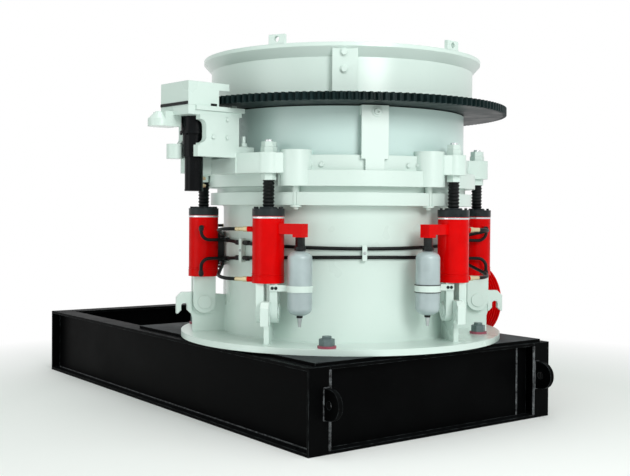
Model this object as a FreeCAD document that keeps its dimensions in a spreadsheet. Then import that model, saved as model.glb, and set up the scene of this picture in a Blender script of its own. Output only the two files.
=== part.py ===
import FreeCAD, Part
import math
import os
import re
import Sketcher
from FreeCAD import Placement, Rotation, Vector

# Multi-cylinder hydraulic cone crusher on a steel skid, millimetres.
# The origin lies on the crusher's vertical axis at floor level: +Z up, +X along the
# skid towards the end with the lifting lugs, +Y towards the drive sheave.
# Pieces that repeat round the crusher are drawn at azimuth 0 and turned about Z.

SIZES = {
    # skid
    "skid_left": 2712, "skid_right": 1009, "skid_width": 2024, "skid_height": 503,
    "beam_flange": 150, "beam_flange_thick": 20, "beam_web": 14, "end_plate_thick": 14,
    "deck_left": 1180, "deck_right": 985, "deck_width": 1900, "deck_thick": 20,
    "deck_hole_radius": 690,
    "lug_inset": 122, "lug_thick": 30, "lug_reach": 135, "lug_height": 180,
    "lug_centre_height": 290, "lug_hole_radius": 24,
    "anchor_x": 850, "anchor_inset": 42, "anchor_hole_radius": 14,
    # main frame
    "base_flange_radius": 1100, "base_flange_thick": 40,
    "shell_radius": 813, "shell_wall": 45, "shell_top": 1494,
    "top_flange_radius": 902, "top_flange_thick": 81,
    "hub_radius": 300, "hub_height": 477, "arm_width": 90, "arm_height": 290,
    "bolt_x": 765, "bolt_near": 700, "bolt_far": 582, "bolt_radius": 28, "bolt_length": 58,
    "nut_across_corners": 96, "nut_height": 42, "washer_radius": 57, "washer_thick": 14,
    # ribs that carry the tramp release cylinders, drawn about a cylinder's axis
    "rib_thick": 32, "rib_root": 232, "rib_edge": 74, "rib_top": 800,
    "rib_direction_left": -41, "rib_direction_right": -27,
    "hook_thick": 50, "hook_start": 80, "hook_reach": 183, "hook_top": 828, "hook_bottom": 686,
    "hook_notch_radius": 20, "hook_notch_centre": 131, "hook_notch_top": 756,
    "hook_corner": 34, "hook_flare": 22,
    # tramp release cylinders
    "cylinder_circle": 959, "mirror_azimuth": -28, "front_pair": 37.7, "side_pair": 84.4,
    "barrel_radius": 98, "barrel_wall": 18, "barrel_bottom": 936, "barrel_top": 1345,
    "barrel_floor": 30, "base_ring_radius": 100, "base_ring_height": 40,
    "head_radius": 100, "head_height": 46,
    "port_radius": 17, "port_reach": 135, "port_angle": 76.3, "port_upper": 1264,
    "port_lower": 955,
    "ear_width": 148, "ear_thick": 48, "ear_gap": 36, "ear_bottom": 690,
    "pin_radius": 30, "pin_head_radius": 46, "pin_head_thick": 8,
    "rod_radius": 24, "rod_bottom": 1180, "rod_stub": 12,
    "nut_stack_height": 66, "rod_nut_corners": 92, "lower_nut_height": 42,
    "boot_radius": 37, "boot_root_radius": 31, "boot_bore_radius": 26,
    # guide pins
    "guide_boss_radius": 98, "guide_pin_radius": 24, "guide_pin_circle": 880,
    "guide_pair": 28.5, "guide_pin_top": 1680,
    "guide_bore_top": 1700, "guide_washer_radius": 36, "guide_washer_thick": 12,
    "guide_tail_radius": 17, "guide_tail_drop": 26,
    # accumulators on arms of the front and back cylinders
    "arm_length_left": 225, "arm_length_right": 262, "arm_half": 32, "arm_low": 1236,
    "block_half": 34, "block_low": 1219, "block_top": 1300,
    "bottle_radius": 75, "bottle_bottom": 744, "bottle_top": 1139, "bottle_dome": 46,
    "neck_radius": 35, "neck_height": 23, "neck_corners": 58,
    "valve_ring_radius": 19, "valve_ring_height": 12, "valve_radius": 15, "valve_tip_radius": 9,
    "valve_length": 54,
    "band_thick": 5, "band_low": 889, "band_high": 928, "strap_thick": 12,
    # hydraulic lines round the shell and their branches to the cylinders
    "hose_radius": 11, "hose_circle": 830, "line_upper": 1147, "line_lower": 1094,
    "line_tilt": 3.2, "manifold_reach": 854, "manifold_width": 60, "manifold_low": 1006,
    "manifold_high": 1235, "coupling_radius": 13, "coupling_nut_radius": 17,
    "coupling_nut_length": 26, "coupling_length": 79,
    "branch_lead": 122, "branch_bend": 140, "branch_approach": 250,
    "branch_radius": 834, "branch_upper": 1217, "branch_lower": 1024,
    "tee_offset": 75.96, "tee_radius": 16, "tee_length": 50, "nipple_radius": 13,
    "nipple_reach": 862, "elbow_radius": 16, "elbow_reach": 152, "elbow_drop": 22,
    "elbow_bend": 56,
    "clip_width": 30, "clip_reach": 847, "clip_low": 1072, "clip_high": 1168,
    "clip_offset": 60, "side_clip_low": 1045, "side_clip_high": 1197,
    # adjustment ring
    "seat_gap": 36, "seat_radius": 858, "ring_bore_radius": 720,
    "ring_radius": 925, "ring_band_height": 98, "ring_upper_radius": 880,
    "ring_top": 1722, "lug_radius": 76, "ring_lug_bottom": 1607, "ring_lug_top": 1734,
    "guide_boss_top": 1752, "nut_pocket_radius": 57,
    "dust_shell_radius": 844, "dust_shell_wall": 12,
    "stop_azimuth": -25, "stop_width": 170, "stop_thick": 22, "stop_bottom": 1697,
    "stop_spacer_height": 56, "stop_foot_width": 120,
    # bowl, ring gear and hopper
    "thread_clearance": 0.5, "bowl_bottom": 1540, "bowl_cap_radius": 800, "bowl_cap_height": 70,
    "liner_thick": 55, "throat_radius": 430, "throat_height": 1800, "bowl_mouth_radius": 520,
    "bowl_skirt_radius": 645,
    "gear_bottom": 2030, "gear_thick": 49,
    "gear_module": 14, "gear_teeth": 160, "pinion_teeth": 16, "gear_addendum": 11.2,
    "gear_dedendum": 14, "gear_backlash": 1.2, "gear_overlap": 6,
    "hopper_radius": 900, "hopper_wall": 16, "hopper_height": 317,
    "hopper_rim_radius": 952, "hopper_rim_height": 24, "hopper_flare_height": 57,
    "funnel_drop": 25, "funnel_thick": 20,
    "rim_ear_azimuth": -63, "rim_ear_count": 5, "rim_ear_width": 110, "rim_ear_height": 58,
    "rim_ear_thick": 25, "rim_ear_hole": 18,
    "bar_azimuth": -37, "bar_width": 155, "bar_thick": 40, "bar_foot": 21, "bar_drop": 10,
    # head
    "head_base_radius": 420, "mantle_bottom": 1470, "mantle_radius": 575, "mantle_top": 1900,
    "mantle_top_radius": 230, "mantle_skirt_height": 60, "feed_plate_radius": 190,
    "feed_plate_height": 45,
    # adjustment drive on the ring
    "drive_pitches": -38, "arm_inner": 105, "arm_outer": 150, "arm_reach": 1307,
    "arm_bottom": 1702, "arm_top": 1772, "arm_rib_length": 203.7,
    "arm_nose_radius": 52, "arm_nose_low": 1694, "arm_nose_high": 1784,
    "column_inner": 999, "column_outer": 1290, "notch_start": 1245, "notch_top": 1925,
    "notch_radius": 40, "platform_reach": 1026,
    "table_bottom": 1951, "table_top": 2007, "table_start": 979, "table_overhang": 144,
    "table_rim": 14, "table_rim_height": 28, "table_step": 50,
    "end_lug_radius": 70, "end_lug_reach": 56, "end_lug_low": 1885, "end_lug_high": 1976,
    "end_lug_bevel": 45,
    "guard_length": 301, "guard_mouth_length": 77, "guard_overhang": 144,
    "guard_wall": 10, "guard_step": 2105, "guard_top": 2150,
    "reducer_radius": 80, "reducer_height": 89, "flange_radius": 88, "flange_height": 18,
    "gearbox_radius": 70, "gearbox_height": 140, "motor_radius": 56, "motor_bottom": 1495,
    "pinion_shaft_radius": 30,
    # countershaft and V-belt sheave
    "shaft_height": 703, "shaft_radius": 50, "shaft_start": 330, "shaft_end": 1352,
    "housing_radius": 128, "housing_end": 1090, "running_clearance": 0.1,
    "sheave_radius": 287, "sheave_start": 1128, "sheave_width": 200, "groove_count": 7,
    "groove_pitch": 25.5, "groove_depth": 22, "groove_top": 19, "groove_bottom": 8,
    "sheave_rim": 42, "sheave_web": 34, "sheave_hub_radius": 90,
    "seat_clearance": 0.3, "clearance_gap": 2, "overlap": 5,
}

DRIVE_AZIMUTH = "drive_pitches * 360 / gear_teeth"
GEAR_CENTRES = "gear_module * (gear_teeth + pinion_teeth) / 2"

doc = FreeCAD.newDocument("cone_crusher")
sheet = doc.addObject("Spreadsheet::Sheet", "sizes")
subparts = []


def fill_sheet():
    """One row per size: its name, its value and the alias that expressions use."""
    for row, (name, value) in enumerate(SIZES.items(), start=1):
        sheet.set(f"A{row}", name)
        sheet.set(f"B{row}", str(value))
        sheet.setAlias(f"B{row}", name)
    doc.recompute()


def bound(expression):
    """The expression with each size written as a cell of the sheet."""
    return re.sub(r"[a-z_]+", lambda word: f"sizes.{word[0]}" if word[0] in SIZES else word[0],
                  str(expression))


def value(expression):
    """The expression's number with the sheet as it stands."""
    return float(sheet.evalExpression(str(expression)))


def bind(item, **properties):
    """Tie properties of an object to the sheet; a double underscore stands for a dot."""
    for name, expression in properties.items():
        item.setExpression(name.replace("__", "."), bound(expression))
    return item


def publish(item, label):
    """Name an object as a sub-part that is written to a file of that name."""
    item.Label = label
    subparts.append(item)
    return item


def turn(item, azimuth):
    """Turn an object whose own place is the origin about the crusher's axis."""
    item.Placement = Placement(Vector(0, 0, 0), Rotation(Vector(0, 0, 1), value(azimuth)))
    return bind(item, Placement__Rotation__Angle=azimuth)


def outline(body, name, plane, corners, offset="0"):
    """A closed sketch of straight edges whose corners are pairs of expressions."""
    sketch = body.newObject("Sketcher::SketchObject", name)
    base = next(item for item in body.Origin.OriginFeatures if item.Role == plane)
    sketch.AttachmentSupport = [(base, "")]
    sketch.MapMode = "FlatFace"
    bind(sketch, AttachmentOffset__Base__z=offset)
    points = [Vector(value(across), value(along), 0) for across, along in corners]
    for index, start in enumerate(points):
        sketch.addGeometry(Part.LineSegment(start, points[(index + 1) % len(points)]))
    for index, (across, along) in enumerate(corners):
        following = (index + 1) % len(points)
        sketch.addConstraint(Sketcher.Constraint("Coincident", index, 2, following, 1))
        for kind, expression, number in (("DistanceX", across, points[index].x),
                                         ("DistanceY", along, points[index].y)):
            row = sketch.addConstraint(Sketcher.Constraint(kind, -1, 1, index, 1, number))
            bind(sketch, **{f"Constraints[{row}]": expression})
    return sketch


def revolved(name, corners, plane="XZ_Plane"):
    """A body of revolution about the sketch's vertical axis."""
    body = doc.addObject("PartDesign::Body", name)
    sketch = outline(body, f"{name}_profile", plane, corners)
    turned = body.newObject("PartDesign::Revolution", f"{name}_revolution")
    turned.Profile = sketch
    turned.ReferenceAxis = (sketch, ["V_Axis"])
    turned.Angle = 360
    return body


def padded(name, plane, corners, length, offset="0", midplane=False):
    """A body made by a straight pad of a sketch."""
    body = doc.addObject("PartDesign::Body", name)
    sketch = outline(body, f"{name}_profile", plane, corners, offset)
    pad = body.newObject("PartDesign::Pad", f"{name}_pad")
    pad.Profile = sketch
    pad.Midplane = midplane
    bind(pad, Length=length)
    return body


def box(name, low, high):
    """A block between two corners given as expressions."""
    item = doc.addObject("Part::Box", name)
    bind(item, Length=f"{high[0]} - ({low[0]})", Width=f"{high[1]} - ({low[1]})",
         Height=f"{high[2]} - ({low[2]})")
    return bind(item, Placement__Base__x=low[0], Placement__Base__y=low[1],
                Placement__Base__z=low[2])


def upright(name, radius, bottom, top, across="0", along="0"):
    """An upright cylinder between two levels."""
    item = doc.addObject("Part::Cylinder", name)
    bind(item, Radius=radius, Height=f"{top} - ({bottom})")
    return bind(item, Placement__Base__x=across, Placement__Base__y=along,
                Placement__Base__z=bottom)


def crosswise(name, radius, start, end, across, level):
    """A cylinder that lies along Y."""
    item = doc.addObject("Part::Cylinder", name)
    item.Placement = Placement(Vector(0, 0, 0), Rotation(Vector(1, 0, 0), -90))
    bind(item, Radius=radius, Height=f"{end} - ({start})")
    return bind(item, Placement__Base__x=across, Placement__Base__y=start,
                Placement__Base__z=level)


def hexagon(name, corners, bottom, top, across, along="0"):
    """An upright hexagonal prism; its width is measured across the corners."""
    item = doc.addObject("Part::Prism", name)
    item.Polygon = 6
    bind(item, Circumradius=f"{corners} / 2", Height=f"{top} - ({bottom})")
    return bind(item, Placement__Base__x=across, Placement__Base__y=along,
                Placement__Base__z=bottom)


def fused(name, pieces):
    item = doc.addObject("Part::MultiFuse", name)
    item.Shapes = pieces
    item.Refine = True
    return item


def cut(name, base, tool):
    item = doc.addObject("Part::Cut", name)
    item.Base = base
    item.Tool = tool
    return item


def gathered(name, pieces):
    """Like pieces that share one file."""
    item = doc.addObject("Part::Compound", name)
    item.Links = pieces
    return item


def copy_at(source, name, azimuth):
    """A linked copy of a piece, turned about the crusher's axis."""
    link = doc.addObject("App::Link", name)
    link.LinkedObject = source
    link.LinkTransform = True
    return turn(link, azimuth)


def copies(source, name, azimuths):
    return [copy_at(source, f"{name}_{index}", azimuth)
            for index, azimuth in enumerate(azimuths, start=1)]


def polar(radius, azimuth):
    """Plan position at a radius and an azimuth, as two expressions."""
    return f"{radius} * cos({azimuth})", f"{radius} * sin({azimuth})"


def stand_at(source, name, azimuth, direction):
    """A linked copy of a piece drawn about a cylinder's axis, put in that cylinder's place."""
    link = doc.addObject("App::Link", name)
    link.LinkedObject = source
    link.LinkTransform = True
    across, along = polar("cylinder_circle", azimuth)
    link.Placement = Placement(Vector(value(across), value(along), 0),
                               Rotation(Vector(0, 0, 1), value(direction)))
    return bind(link, Placement__Base__x=across, Placement__Base__y=along,
                Placement__Rotation__Angle=direction)


def front_cylinders():
    """Azimuth, rib direction, port side and accumulator arm of the front pair."""
    return [("(mirror_azimuth - front_pair)", "rib_direction_left", "-", "arm_length_left"),
            ("(mirror_azimuth + front_pair)", "rib_direction_right", "+", "arm_length_right")]


def armed_cylinders():
    """The front pair, and the back pair that faces it across the crusher."""
    front = front_cylinders()
    return front + [(f"({azimuth} + 180)", f"({direction} + 180)", side, length)
                    for azimuth, direction, side, length in front]


def side_cylinders():
    return [("(mirror_azimuth - side_pair)", "+"), ("(mirror_azimuth + side_pair)", "-")]


def cylinder_places():
    """Azimuth, rib direction and port side of the six cylinders."""
    sides = [(azimuth, azimuth, side) for azimuth, side in side_cylinders()]
    return sides + [place[:3] for place in armed_cylinders()]


def cylinder_azimuths():
    return [place[0] for place in cylinder_places()]


def in_every_place(piece, name):
    """A copy of a round piece at each cylinder."""
    return [stand_at(piece, f"{name}_{index}", azimuth, azimuth)
            for index, azimuth in enumerate(cylinder_azimuths(), start=1)]


def on_every_rib(piece, name):
    """A copy of a piece that follows the ribs' directions at each cylinder."""
    return [stand_at(piece, f"{name}_{index}", azimuth, direction)
            for index, (azimuth, direction, _) in enumerate(cylinder_places(), start=1)]


def guide_azimuths():
    return [f"mirror_azimuth {sign} guide_pair {half}" for half in ("", "+ 180") for sign in "-+"]


def beam_corners(centre):
    """I-section with its foot at level 0, flanges symmetric about its web."""
    edge = "beam_flange / 2"
    web = "beam_web / 2"
    low = "beam_flange_thick"
    high = "skid_height - beam_flange_thick"
    right = [(edge, "0"), (edge, low), (web, low), (web, high), (edge, high),
             (edge, "skid_height")]
    corners = [(f"{centre} + {across}", level) for across, level in right]
    corners += [(f"{centre} - {across}", level) for across, level in reversed(right)]
    return corners


def make_skid():
    edge = "(skid_width / 2 - beam_flange / 2)"
    for side, sign in (("near", "-"), ("far", "+")):
        beam = padded(f"long_beam_{side}_section", "YZ_Plane", beam_corners(f"0 {sign} {edge}"),
                      "skid_left + skid_right", offset="-skid_left")
        low = "-skid_width / 2" if sign == "-" else "skid_width / 2 - beam_flange"
        high = "-skid_width / 2 + beam_flange" if sign == "-" else "skid_width / 2"
        plates = [box(f"long_beam_{side}_end_{end}", (start, low, "0"), (stop, high, "skid_height"))
                  for end, start, stop in (("left", "-skid_left", "end_plate_thick - skid_left"),
                                           ("right", "skid_right - end_plate_thick", "skid_right"))]
        beam = fused(f"long_beam_{side}_closed", [beam] + plates)
        holes = [upright(f"anchor_hole_{side}_{end}", "anchor_hole_radius", "-overlap",
                         "beam_flange_thick + overlap", across,
                         f"0 {sign} (skid_width / 2 - anchor_inset)")
                 for end, across in (("left", "-anchor_x"), ("right", "anchor_x"))]
        publish(cut(f"long_beam_{side}", beam, fused(f"anchor_holes_{side}", holes)),
                f"skid_long_beam_{side}")
    span = "skid_width - 2 * beam_flange"
    for place, centre in (("left_end_beam", "beam_flange / 2 - skid_left"),
                          ("cross_beam", "beam_flange / 2 - deck_left"),
                          ("right_end_beam", "skid_right - beam_flange / 2")):
        beam = padded(f"{place}_body", "XZ_Plane", beam_corners(centre), span, midplane=True)
        publish(beam, f"skid_{place}")


def make_deck():
    plate = box("deck_blank", ("-deck_left", "-deck_width / 2", "skid_height"),
                ("deck_right", "deck_width / 2", "skid_height + deck_thick"))
    hole = upright("deck_hole", "deck_hole_radius", "skid_height - overlap",
                   "skid_height + deck_thick + overlap")
    publish(cut("deck", plate, hole), "deck_plate")


def make_skid_lugs():
    """Pad eyes on the right end: a square root and a round nose with a hole."""
    lugs = []
    for side, sign in (("near", "-"), ("far", "+")):
        start = f"0 {sign} (skid_width / 2 - lug_inset) - lug_thick / 2"
        end = f"0 {sign} (skid_width / 2 - lug_inset) + lug_thick / 2"
        nose = "skid_right + lug_reach - lug_height / 2"
        root = box(f"lug_root_{side}", ("skid_right", start, "lug_centre_height - lug_height / 2"),
                   (nose, end, "lug_centre_height + lug_height / 2"))
        round_end = crosswise(f"lug_nose_{side}", "lug_height / 2", start, end, nose,
                              "lug_centre_height")
        hole = crosswise(f"lug_hole_{side}", "lug_hole_radius", f"{start} - overlap",
                         f"{end} + overlap", nose, "lug_centre_height")
        back = box(f"lug_back_{side}",
                   ("skid_right - lug_height", f"{start} - overlap",
                    "lug_centre_height - lug_height"),
                   ("skid_right", f"{end} + overlap", "lug_centre_height + lug_height"))
        blank = fused(f"lug_blank_{side}", [root, round_end])
        lugs.append(cut(f"lug_{side}", blank, fused(f"lug_cuts_{side}", [hole, back])))
    publish(gathered("skid_lugs", lugs), "skid_lifting_lugs")


def make_rib():
    """Upright plate through a cylinder's axis, with a lifting hook that opens downwards."""
    floor = "skid_height + deck_thick + base_flange_thick"
    corner = "hook_corner"
    plate = padded("rib_plate", "XZ_Plane", [
        ("-rib_root", floor), ("rib_edge", floor), ("rib_edge", f"hook_bottom - {corner}"),
        ("hook_start + overlap", "hook_bottom"), ("hook_start + overlap", "hook_top"),
        (f"rib_edge - {corner}", "hook_top"), ("-rib_root", "rib_top")], "rib_thick",
        midplane=True)
    hook = padded("hook_block", "XZ_Plane", [
        ("hook_start", "hook_bottom"), ("hook_reach", "hook_bottom"),
        ("hook_reach", f"hook_top - {corner}"), (f"hook_reach - {corner}", "hook_top"),
        ("hook_start", "hook_top")], "hook_thick", midplane=True)
    reach = "(hook_thick / 2 + overlap)"
    eye_level = "hook_notch_top - hook_notch_radius"
    eye = crosswise("hook_eye", "hook_notch_radius", f"-{reach}", reach, "hook_notch_centre",
                    eye_level)
    half = "hook_notch_radius"
    flare = "(hook_notch_radius + hook_flare)"
    mouth = padded("hook_mouth", "XZ_Plane", [
        (f"hook_notch_centre - {half}", eye_level),
        (f"hook_notch_centre - {half}", "hook_bottom + hook_flare"),
        (f"hook_notch_centre - {flare}", "hook_bottom"),
        (f"hook_notch_centre - {flare}", "hook_bottom - overlap"),
        (f"hook_notch_centre + {flare}", "hook_bottom - overlap"),
        (f"hook_notch_centre + {flare}", "hook_bottom"),
        (f"hook_notch_centre + {half}", "hook_bottom + hook_flare"),
        (f"hook_notch_centre + {half}", eye_level)], "hook_thick + 2 * overlap", midplane=True)
    pin_hole = crosswise("rib_pin_hole", "pin_radius + seat_clearance", f"-{reach}", reach,
                         "0", "ear_bottom + ear_width / 2")
    return cut("rib", fused("rib_blank", [plate, hook]),
               fused("rib_cuts", [eye, mouth, pin_hole]))


def make_main_frame():
    """Flanged shell, the spider that carries the hub inside it, and the six ribs."""
    floor = "skid_height + deck_thick"
    shelf = f"{floor} + base_flange_thick"
    inner = "shell_radius - shell_wall"
    shell = revolved("shell", [
        (inner, floor), ("base_flange_radius", floor), ("base_flange_radius", shelf),
        ("shell_radius", shelf), ("shell_radius", "shell_top - top_flange_thick"),
        ("top_flange_radius", "shell_top - top_flange_thick"),
        ("top_flange_radius", "shell_top"), (inner, "shell_top")])
    passage = crosswise("housing_passage", "housing_radius + seat_clearance", "hub_radius",
                        "housing_end", "0", "shaft_height")
    holes = [upright(f"bolt_hole_{index}", "bolt_radius + seat_clearance", f"{floor} - overlap",
                     f"{shelf} + overlap", across, along)
             for index, (across, along) in enumerate(bolt_places(), start=1)]
    guide = upright("guide_hole", "guide_pin_radius + seat_clearance",
                    "shell_top - top_flange_thick - overlap", "shell_top + overlap",
                    "guide_pin_circle")
    guides = copies(guide, "guide_hole_copy", guide_azimuths())
    publish(cut("frame", shell, fused("frame_holes", [passage] + holes + guides)), "main_frame")
    half = "arm_width / 2"
    reach = f"({inner} + overlap)"
    arms = fused("arm_blank", [
        box("arm_pair", (f"-{reach}", f"-{half}", floor), (reach, half, f"{floor} + arm_height")),
        box("arm_single", (f"-{half}", f"-{reach}", floor), (half, "0", f"{floor} + arm_height"))])
    clip = doc.addObject("Part::Common", "arms")
    clip.Base = arms
    clip.Tool = upright("arm_clip", f"{inner} - seat_clearance", floor, f"{floor} + arm_height")
    hub = upright("hub", "hub_radius", floor, f"{floor} + hub_height")
    housing = crosswise("housing", "housing_radius", "0", "housing_end", "0", "shaft_height")
    bore = crosswise("housing_bore", "shaft_radius + running_clearance", "shaft_start - overlap",
                     "housing_end + overlap", "0", "shaft_height")
    publish(cut("spider", fused("spider_blank", [clip, hub, housing]), bore), "frame_spider")
    core = upright("rib_root_cut", "shell_radius + seat_clearance", floor, "shell_top")
    ribs = [cut(f"rib_{index}", copy, core)
            for index, copy in enumerate(on_every_rib(make_rib(), "rib_copy"), start=1)]
    publish(gathered("ribs", ribs), "frame_ribs")


def bolt_places():
    return [(across, along) for across in ("bolt_x", "-bolt_x")
            for along in ("-bolt_near", "bolt_far")]


def make_foundation_bolts():
    floor = "skid_height + deck_thick"
    shelf = f"{floor} + base_flange_thick"
    washers = []
    nuts = []
    for index, (across, along) in enumerate(bolt_places(), start=1):
        disc = upright(f"washer_disc_{index}", "washer_radius", shelf, f"{shelf} + washer_thick",
                       across, along)
        hole = upright(f"washer_hole_{index}", "bolt_radius + seat_clearance", shelf,
                       f"{shelf} + washer_thick", across, along)
        washers.append(cut(f"washer_{index}", disc, hole))
        stud = upright(f"stud_{index}", "bolt_radius", floor,
                       f"{shelf} + washer_thick + bolt_length", across, along)
        nut = hexagon(f"nut_{index}", "nut_across_corners", f"{shelf} + washer_thick",
                      f"{shelf} + washer_thick + nut_height", across, along)
        nuts.append(fused(f"bolt_{index}", [stud, nut]))
    publish(gathered("washers", washers), "foundation_washers")
    publish(gathered("nuts", nuts), "foundation_bolts")


def make_head():
    """Eccentric housing, mantle and feed plate inside the bowl."""
    base = "skid_height + deck_thick + hub_height"
    publish(revolved("head_base", [("0", base), ("hub_radius", base),
                                   ("head_base_radius", f"{base} + hub_radius / 2"),
                                   ("head_base_radius", "mantle_bottom"),
                                   ("0", "mantle_bottom")]), "eccentric_housing")
    publish(revolved("mantle_body", [("0", "mantle_bottom"), ("mantle_radius", "mantle_bottom"),
                                     ("mantle_radius", "mantle_bottom + mantle_skirt_height"),
                                     ("mantle_top_radius", "mantle_top"), ("0", "mantle_top")]),
            "mantle")
    publish(revolved("feed_disc", [("0", "mantle_top"), ("feed_plate_radius", "mantle_top"),
                                   ("feed_plate_radius", "mantle_top + feed_plate_height / 2"),
                                   ("feed_plate_radius / 2", "mantle_top + feed_plate_height"),
                                   ("0", "mantle_top + feed_plate_height")]), "feed_plate")


def outward(name, radius, start, end, level):
    """A cylinder that lies along X."""
    item = doc.addObject("Part::Cylinder", name)
    item.Placement = Placement(Vector(0, 0, 0), Rotation(Vector(0, 1, 0), 90))
    bind(item, Radius=radius, Height=f"{end} - ({start})")
    return bind(item, Placement__Base__x=start, Placement__Base__z=level)


def make_barrels():
    """Closed tube with a base ring, and two ports whose side differs from cylinder to cylinder."""
    tube = revolved("tube", [
        ("0", "barrel_bottom"), ("base_ring_radius", "barrel_bottom"),
        ("base_ring_radius", "barrel_bottom + base_ring_height"),
        ("barrel_radius", "barrel_bottom + base_ring_height + overlap"),
        ("barrel_radius", "barrel_top"), ("barrel_radius - barrel_wall", "barrel_top"),
        ("barrel_radius - barrel_wall", "barrel_bottom + barrel_floor"),
        ("0", "barrel_bottom + barrel_floor")])
    stubs = fused("ports", [outward(f"port_{level}", "port_radius",
                                    "barrel_radius - barrel_wall / 2", "port_reach",
                                    f"port_{level}") for level in ("upper", "lower")])
    barrels = {}
    for side, word in (("-", "clockwise"), ("+", "counter")):
        barrels[side] = fused(f"barrel_{word}",
                              [tube, copy_at(stubs, f"ports_{word}", f"0 {side} port_angle")])
    publish(gathered("barrel_set", [
        stand_at(barrels[side], f"barrel_copy_{index}", azimuth, azimuth)
        for index, (azimuth, _, side) in enumerate(cylinder_places(), start=1)]),
        "cylinder_barrels")


def make_ear():
    """One ear of the clevis: a plate with a full-round lower end and a pin hole."""
    near = "ear_gap / 2"
    far = "ear_gap / 2 + ear_thick"
    centre = "ear_bottom + ear_width / 2"
    plate = box("ear_plate", ("-ear_width / 2", near, centre),
                ("ear_width / 2", far, "barrel_bottom"))
    end = crosswise("ear_end", "ear_width / 2", near, far, "0", centre)
    hole = crosswise("ear_hole", "pin_radius + seat_clearance", f"{near} - overlap",
                     f"{far} + overlap", "0", centre)
    return cut("ear", fused("ear_blank", [plate, end]), hole)


def make_clevis():
    ear = make_ear()
    mirror = doc.addObject("Part::Mirroring", "ear_mirror")
    mirror.Source = ear
    mirror.Normal = Vector(0, 1, 0)
    return gathered("clevis", [ear, mirror])


def make_clevis_pin():
    centre = "ear_bottom + ear_width / 2"
    side = "ear_gap / 2 + ear_thick"
    shaft = crosswise("pin_shaft", "pin_radius", f"-({side})", side, "0", centre)
    heads = [crosswise("pin_head_near", "pin_head_radius", f"-({side}) - pin_head_thick",
                       f"-({side})", "0", centre),
             crosswise("pin_head_far", "pin_head_radius", side, f"{side} + pin_head_thick",
                       "0", centre)]
    return fused("clevis_pin", [shaft] + heads)


def make_rod():
    return upright("rod", "rod_radius", "rod_bottom", "ring_lug_top + nut_stack_height + rod_stub")


def make_rod_nuts():
    """A lock nut pair above the lug and one nut under it, bored for the rod."""
    pieces = []
    lower = "ring_lug_top + nut_stack_height / 2"
    for name, bottom, top, corners in (
            ("nut_low", "ring_lug_bottom - lower_nut_height", "ring_lug_bottom",
             "rod_nut_corners"),
            ("nut_mid", "ring_lug_top", lower, "rod_nut_corners * 1.1"),
            ("nut_top", lower, "ring_lug_top + nut_stack_height", "rod_nut_corners")):
        blank = hexagon(f"{name}_blank", corners, bottom, top, "0")
        bore = upright(f"{name}_bore", "rod_radius + seat_clearance", bottom, top)
        pieces.append(cut(name, blank, bore))
    return gathered("rod_nut_set", pieces)


def make_boot():
    """Bellows between the cylinder head and the nut under the lug."""
    bottom = "(barrel_top + head_height)"
    top = "(ring_lug_bottom - lower_nut_height)"
    folds = 8
    step = f"({top} - {bottom}) / {2 * folds}"
    corners = [("boot_bore_radius", bottom)]
    for index in range(2 * folds + 1):
        radius = "boot_radius" if index % 2 == 0 else "boot_root_radius"
        corners.append((radius, f"{bottom} + {index} * {step}"))
    corners.append(("boot_bore_radius", top))
    return revolved("boot_body", corners)


def make_cylinders():
    make_barrels()
    head = cut("head", upright("head_disc", "head_radius", "barrel_top",
                               "barrel_top + head_height"),
               upright("head_bore", "rod_radius + seat_clearance", "barrel_top - overlap",
                       "barrel_top + head_height + overlap"))
    for label, piece in (("cylinder_heads", head), ("cylinder_rods", make_rod()),
                         ("rod_nuts", make_rod_nuts()), ("rod_boots", make_boot())):
        publish(gathered(f"{label}_set", in_every_place(piece, f"{label}_copy")), label)
    for label, piece in (("cylinder_clevises", make_clevis()),
                         ("clevis_pins", make_clevis_pin())):
        publish(gathered(f"{label}_set", on_every_rib(piece, f"{label}_copy")), label)


def make_bottle(reach):
    """Accumulator bottle with domed ends, standing beside its cylinder."""
    low = "bottle_bottom + bottle_dome"
    high = "bottle_top - bottle_dome"
    domes = []
    for name, level in (("low", low), ("high", high)):
        dome = doc.addObject("Part::Ellipsoid", f"bottle_dome_{name}")
        bind(dome, Radius1="bottle_dome", Radius2="bottle_radius", Placement__Base__y=reach,
             Placement__Base__z=level)
        domes.append(dome)
    return fused("bottle", [upright("bottle_body", "bottle_radius", low, high, "0", reach)] + domes)


def make_neck(reach):
    """Hexagon over a round seat on the bottle, and the ring that holds the valve below it."""
    seat = "bottle_top + neck_height"
    neck = fused("neck", [upright("neck_seat", "neck_radius", "bottle_top", seat, "0", reach),
                          hexagon("neck_hexagon", "neck_corners", f"{seat} - overlap",
                                  "block_low", "0", reach)])
    ring = upright("valve_ring", "valve_ring_radius", "bottle_bottom - valve_ring_height",
                   "bottle_bottom", "0", reach)
    return gathered("neck_and_ring", [neck, ring])


def make_valve(reach):
    valve = doc.addObject("Part::Cone", "valve")
    bottom = "bottle_bottom - valve_ring_height - valve_length"
    return bind(valve, Radius1="valve_tip_radius", Radius2="valve_radius", Height="valve_length",
                Placement__Base__y=reach, Placement__Base__z=bottom)


def make_arm(reach, sign):
    """Arm from the barrel to a block over the bottle, saddled on the barrel."""
    inside = f"0 {sign} (barrel_radius - barrel_wall)"
    low, high = (inside, reach) if sign == "+" else (reach, inside)
    arm = box("arm_beam", ("-arm_half", low, "arm_low"), ("arm_half", high, "block_top"))
    block = box("arm_block", ("-block_half", f"{reach} - block_half", "block_low"),
                ("block_half", f"{reach} + block_half", "block_top"))
    saddle = upright("arm_saddle", "barrel_radius + seat_clearance", "arm_low - overlap",
                     "block_top + overlap")
    return cut("arm", fused("arm_blank", [arm, block]), saddle)


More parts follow.
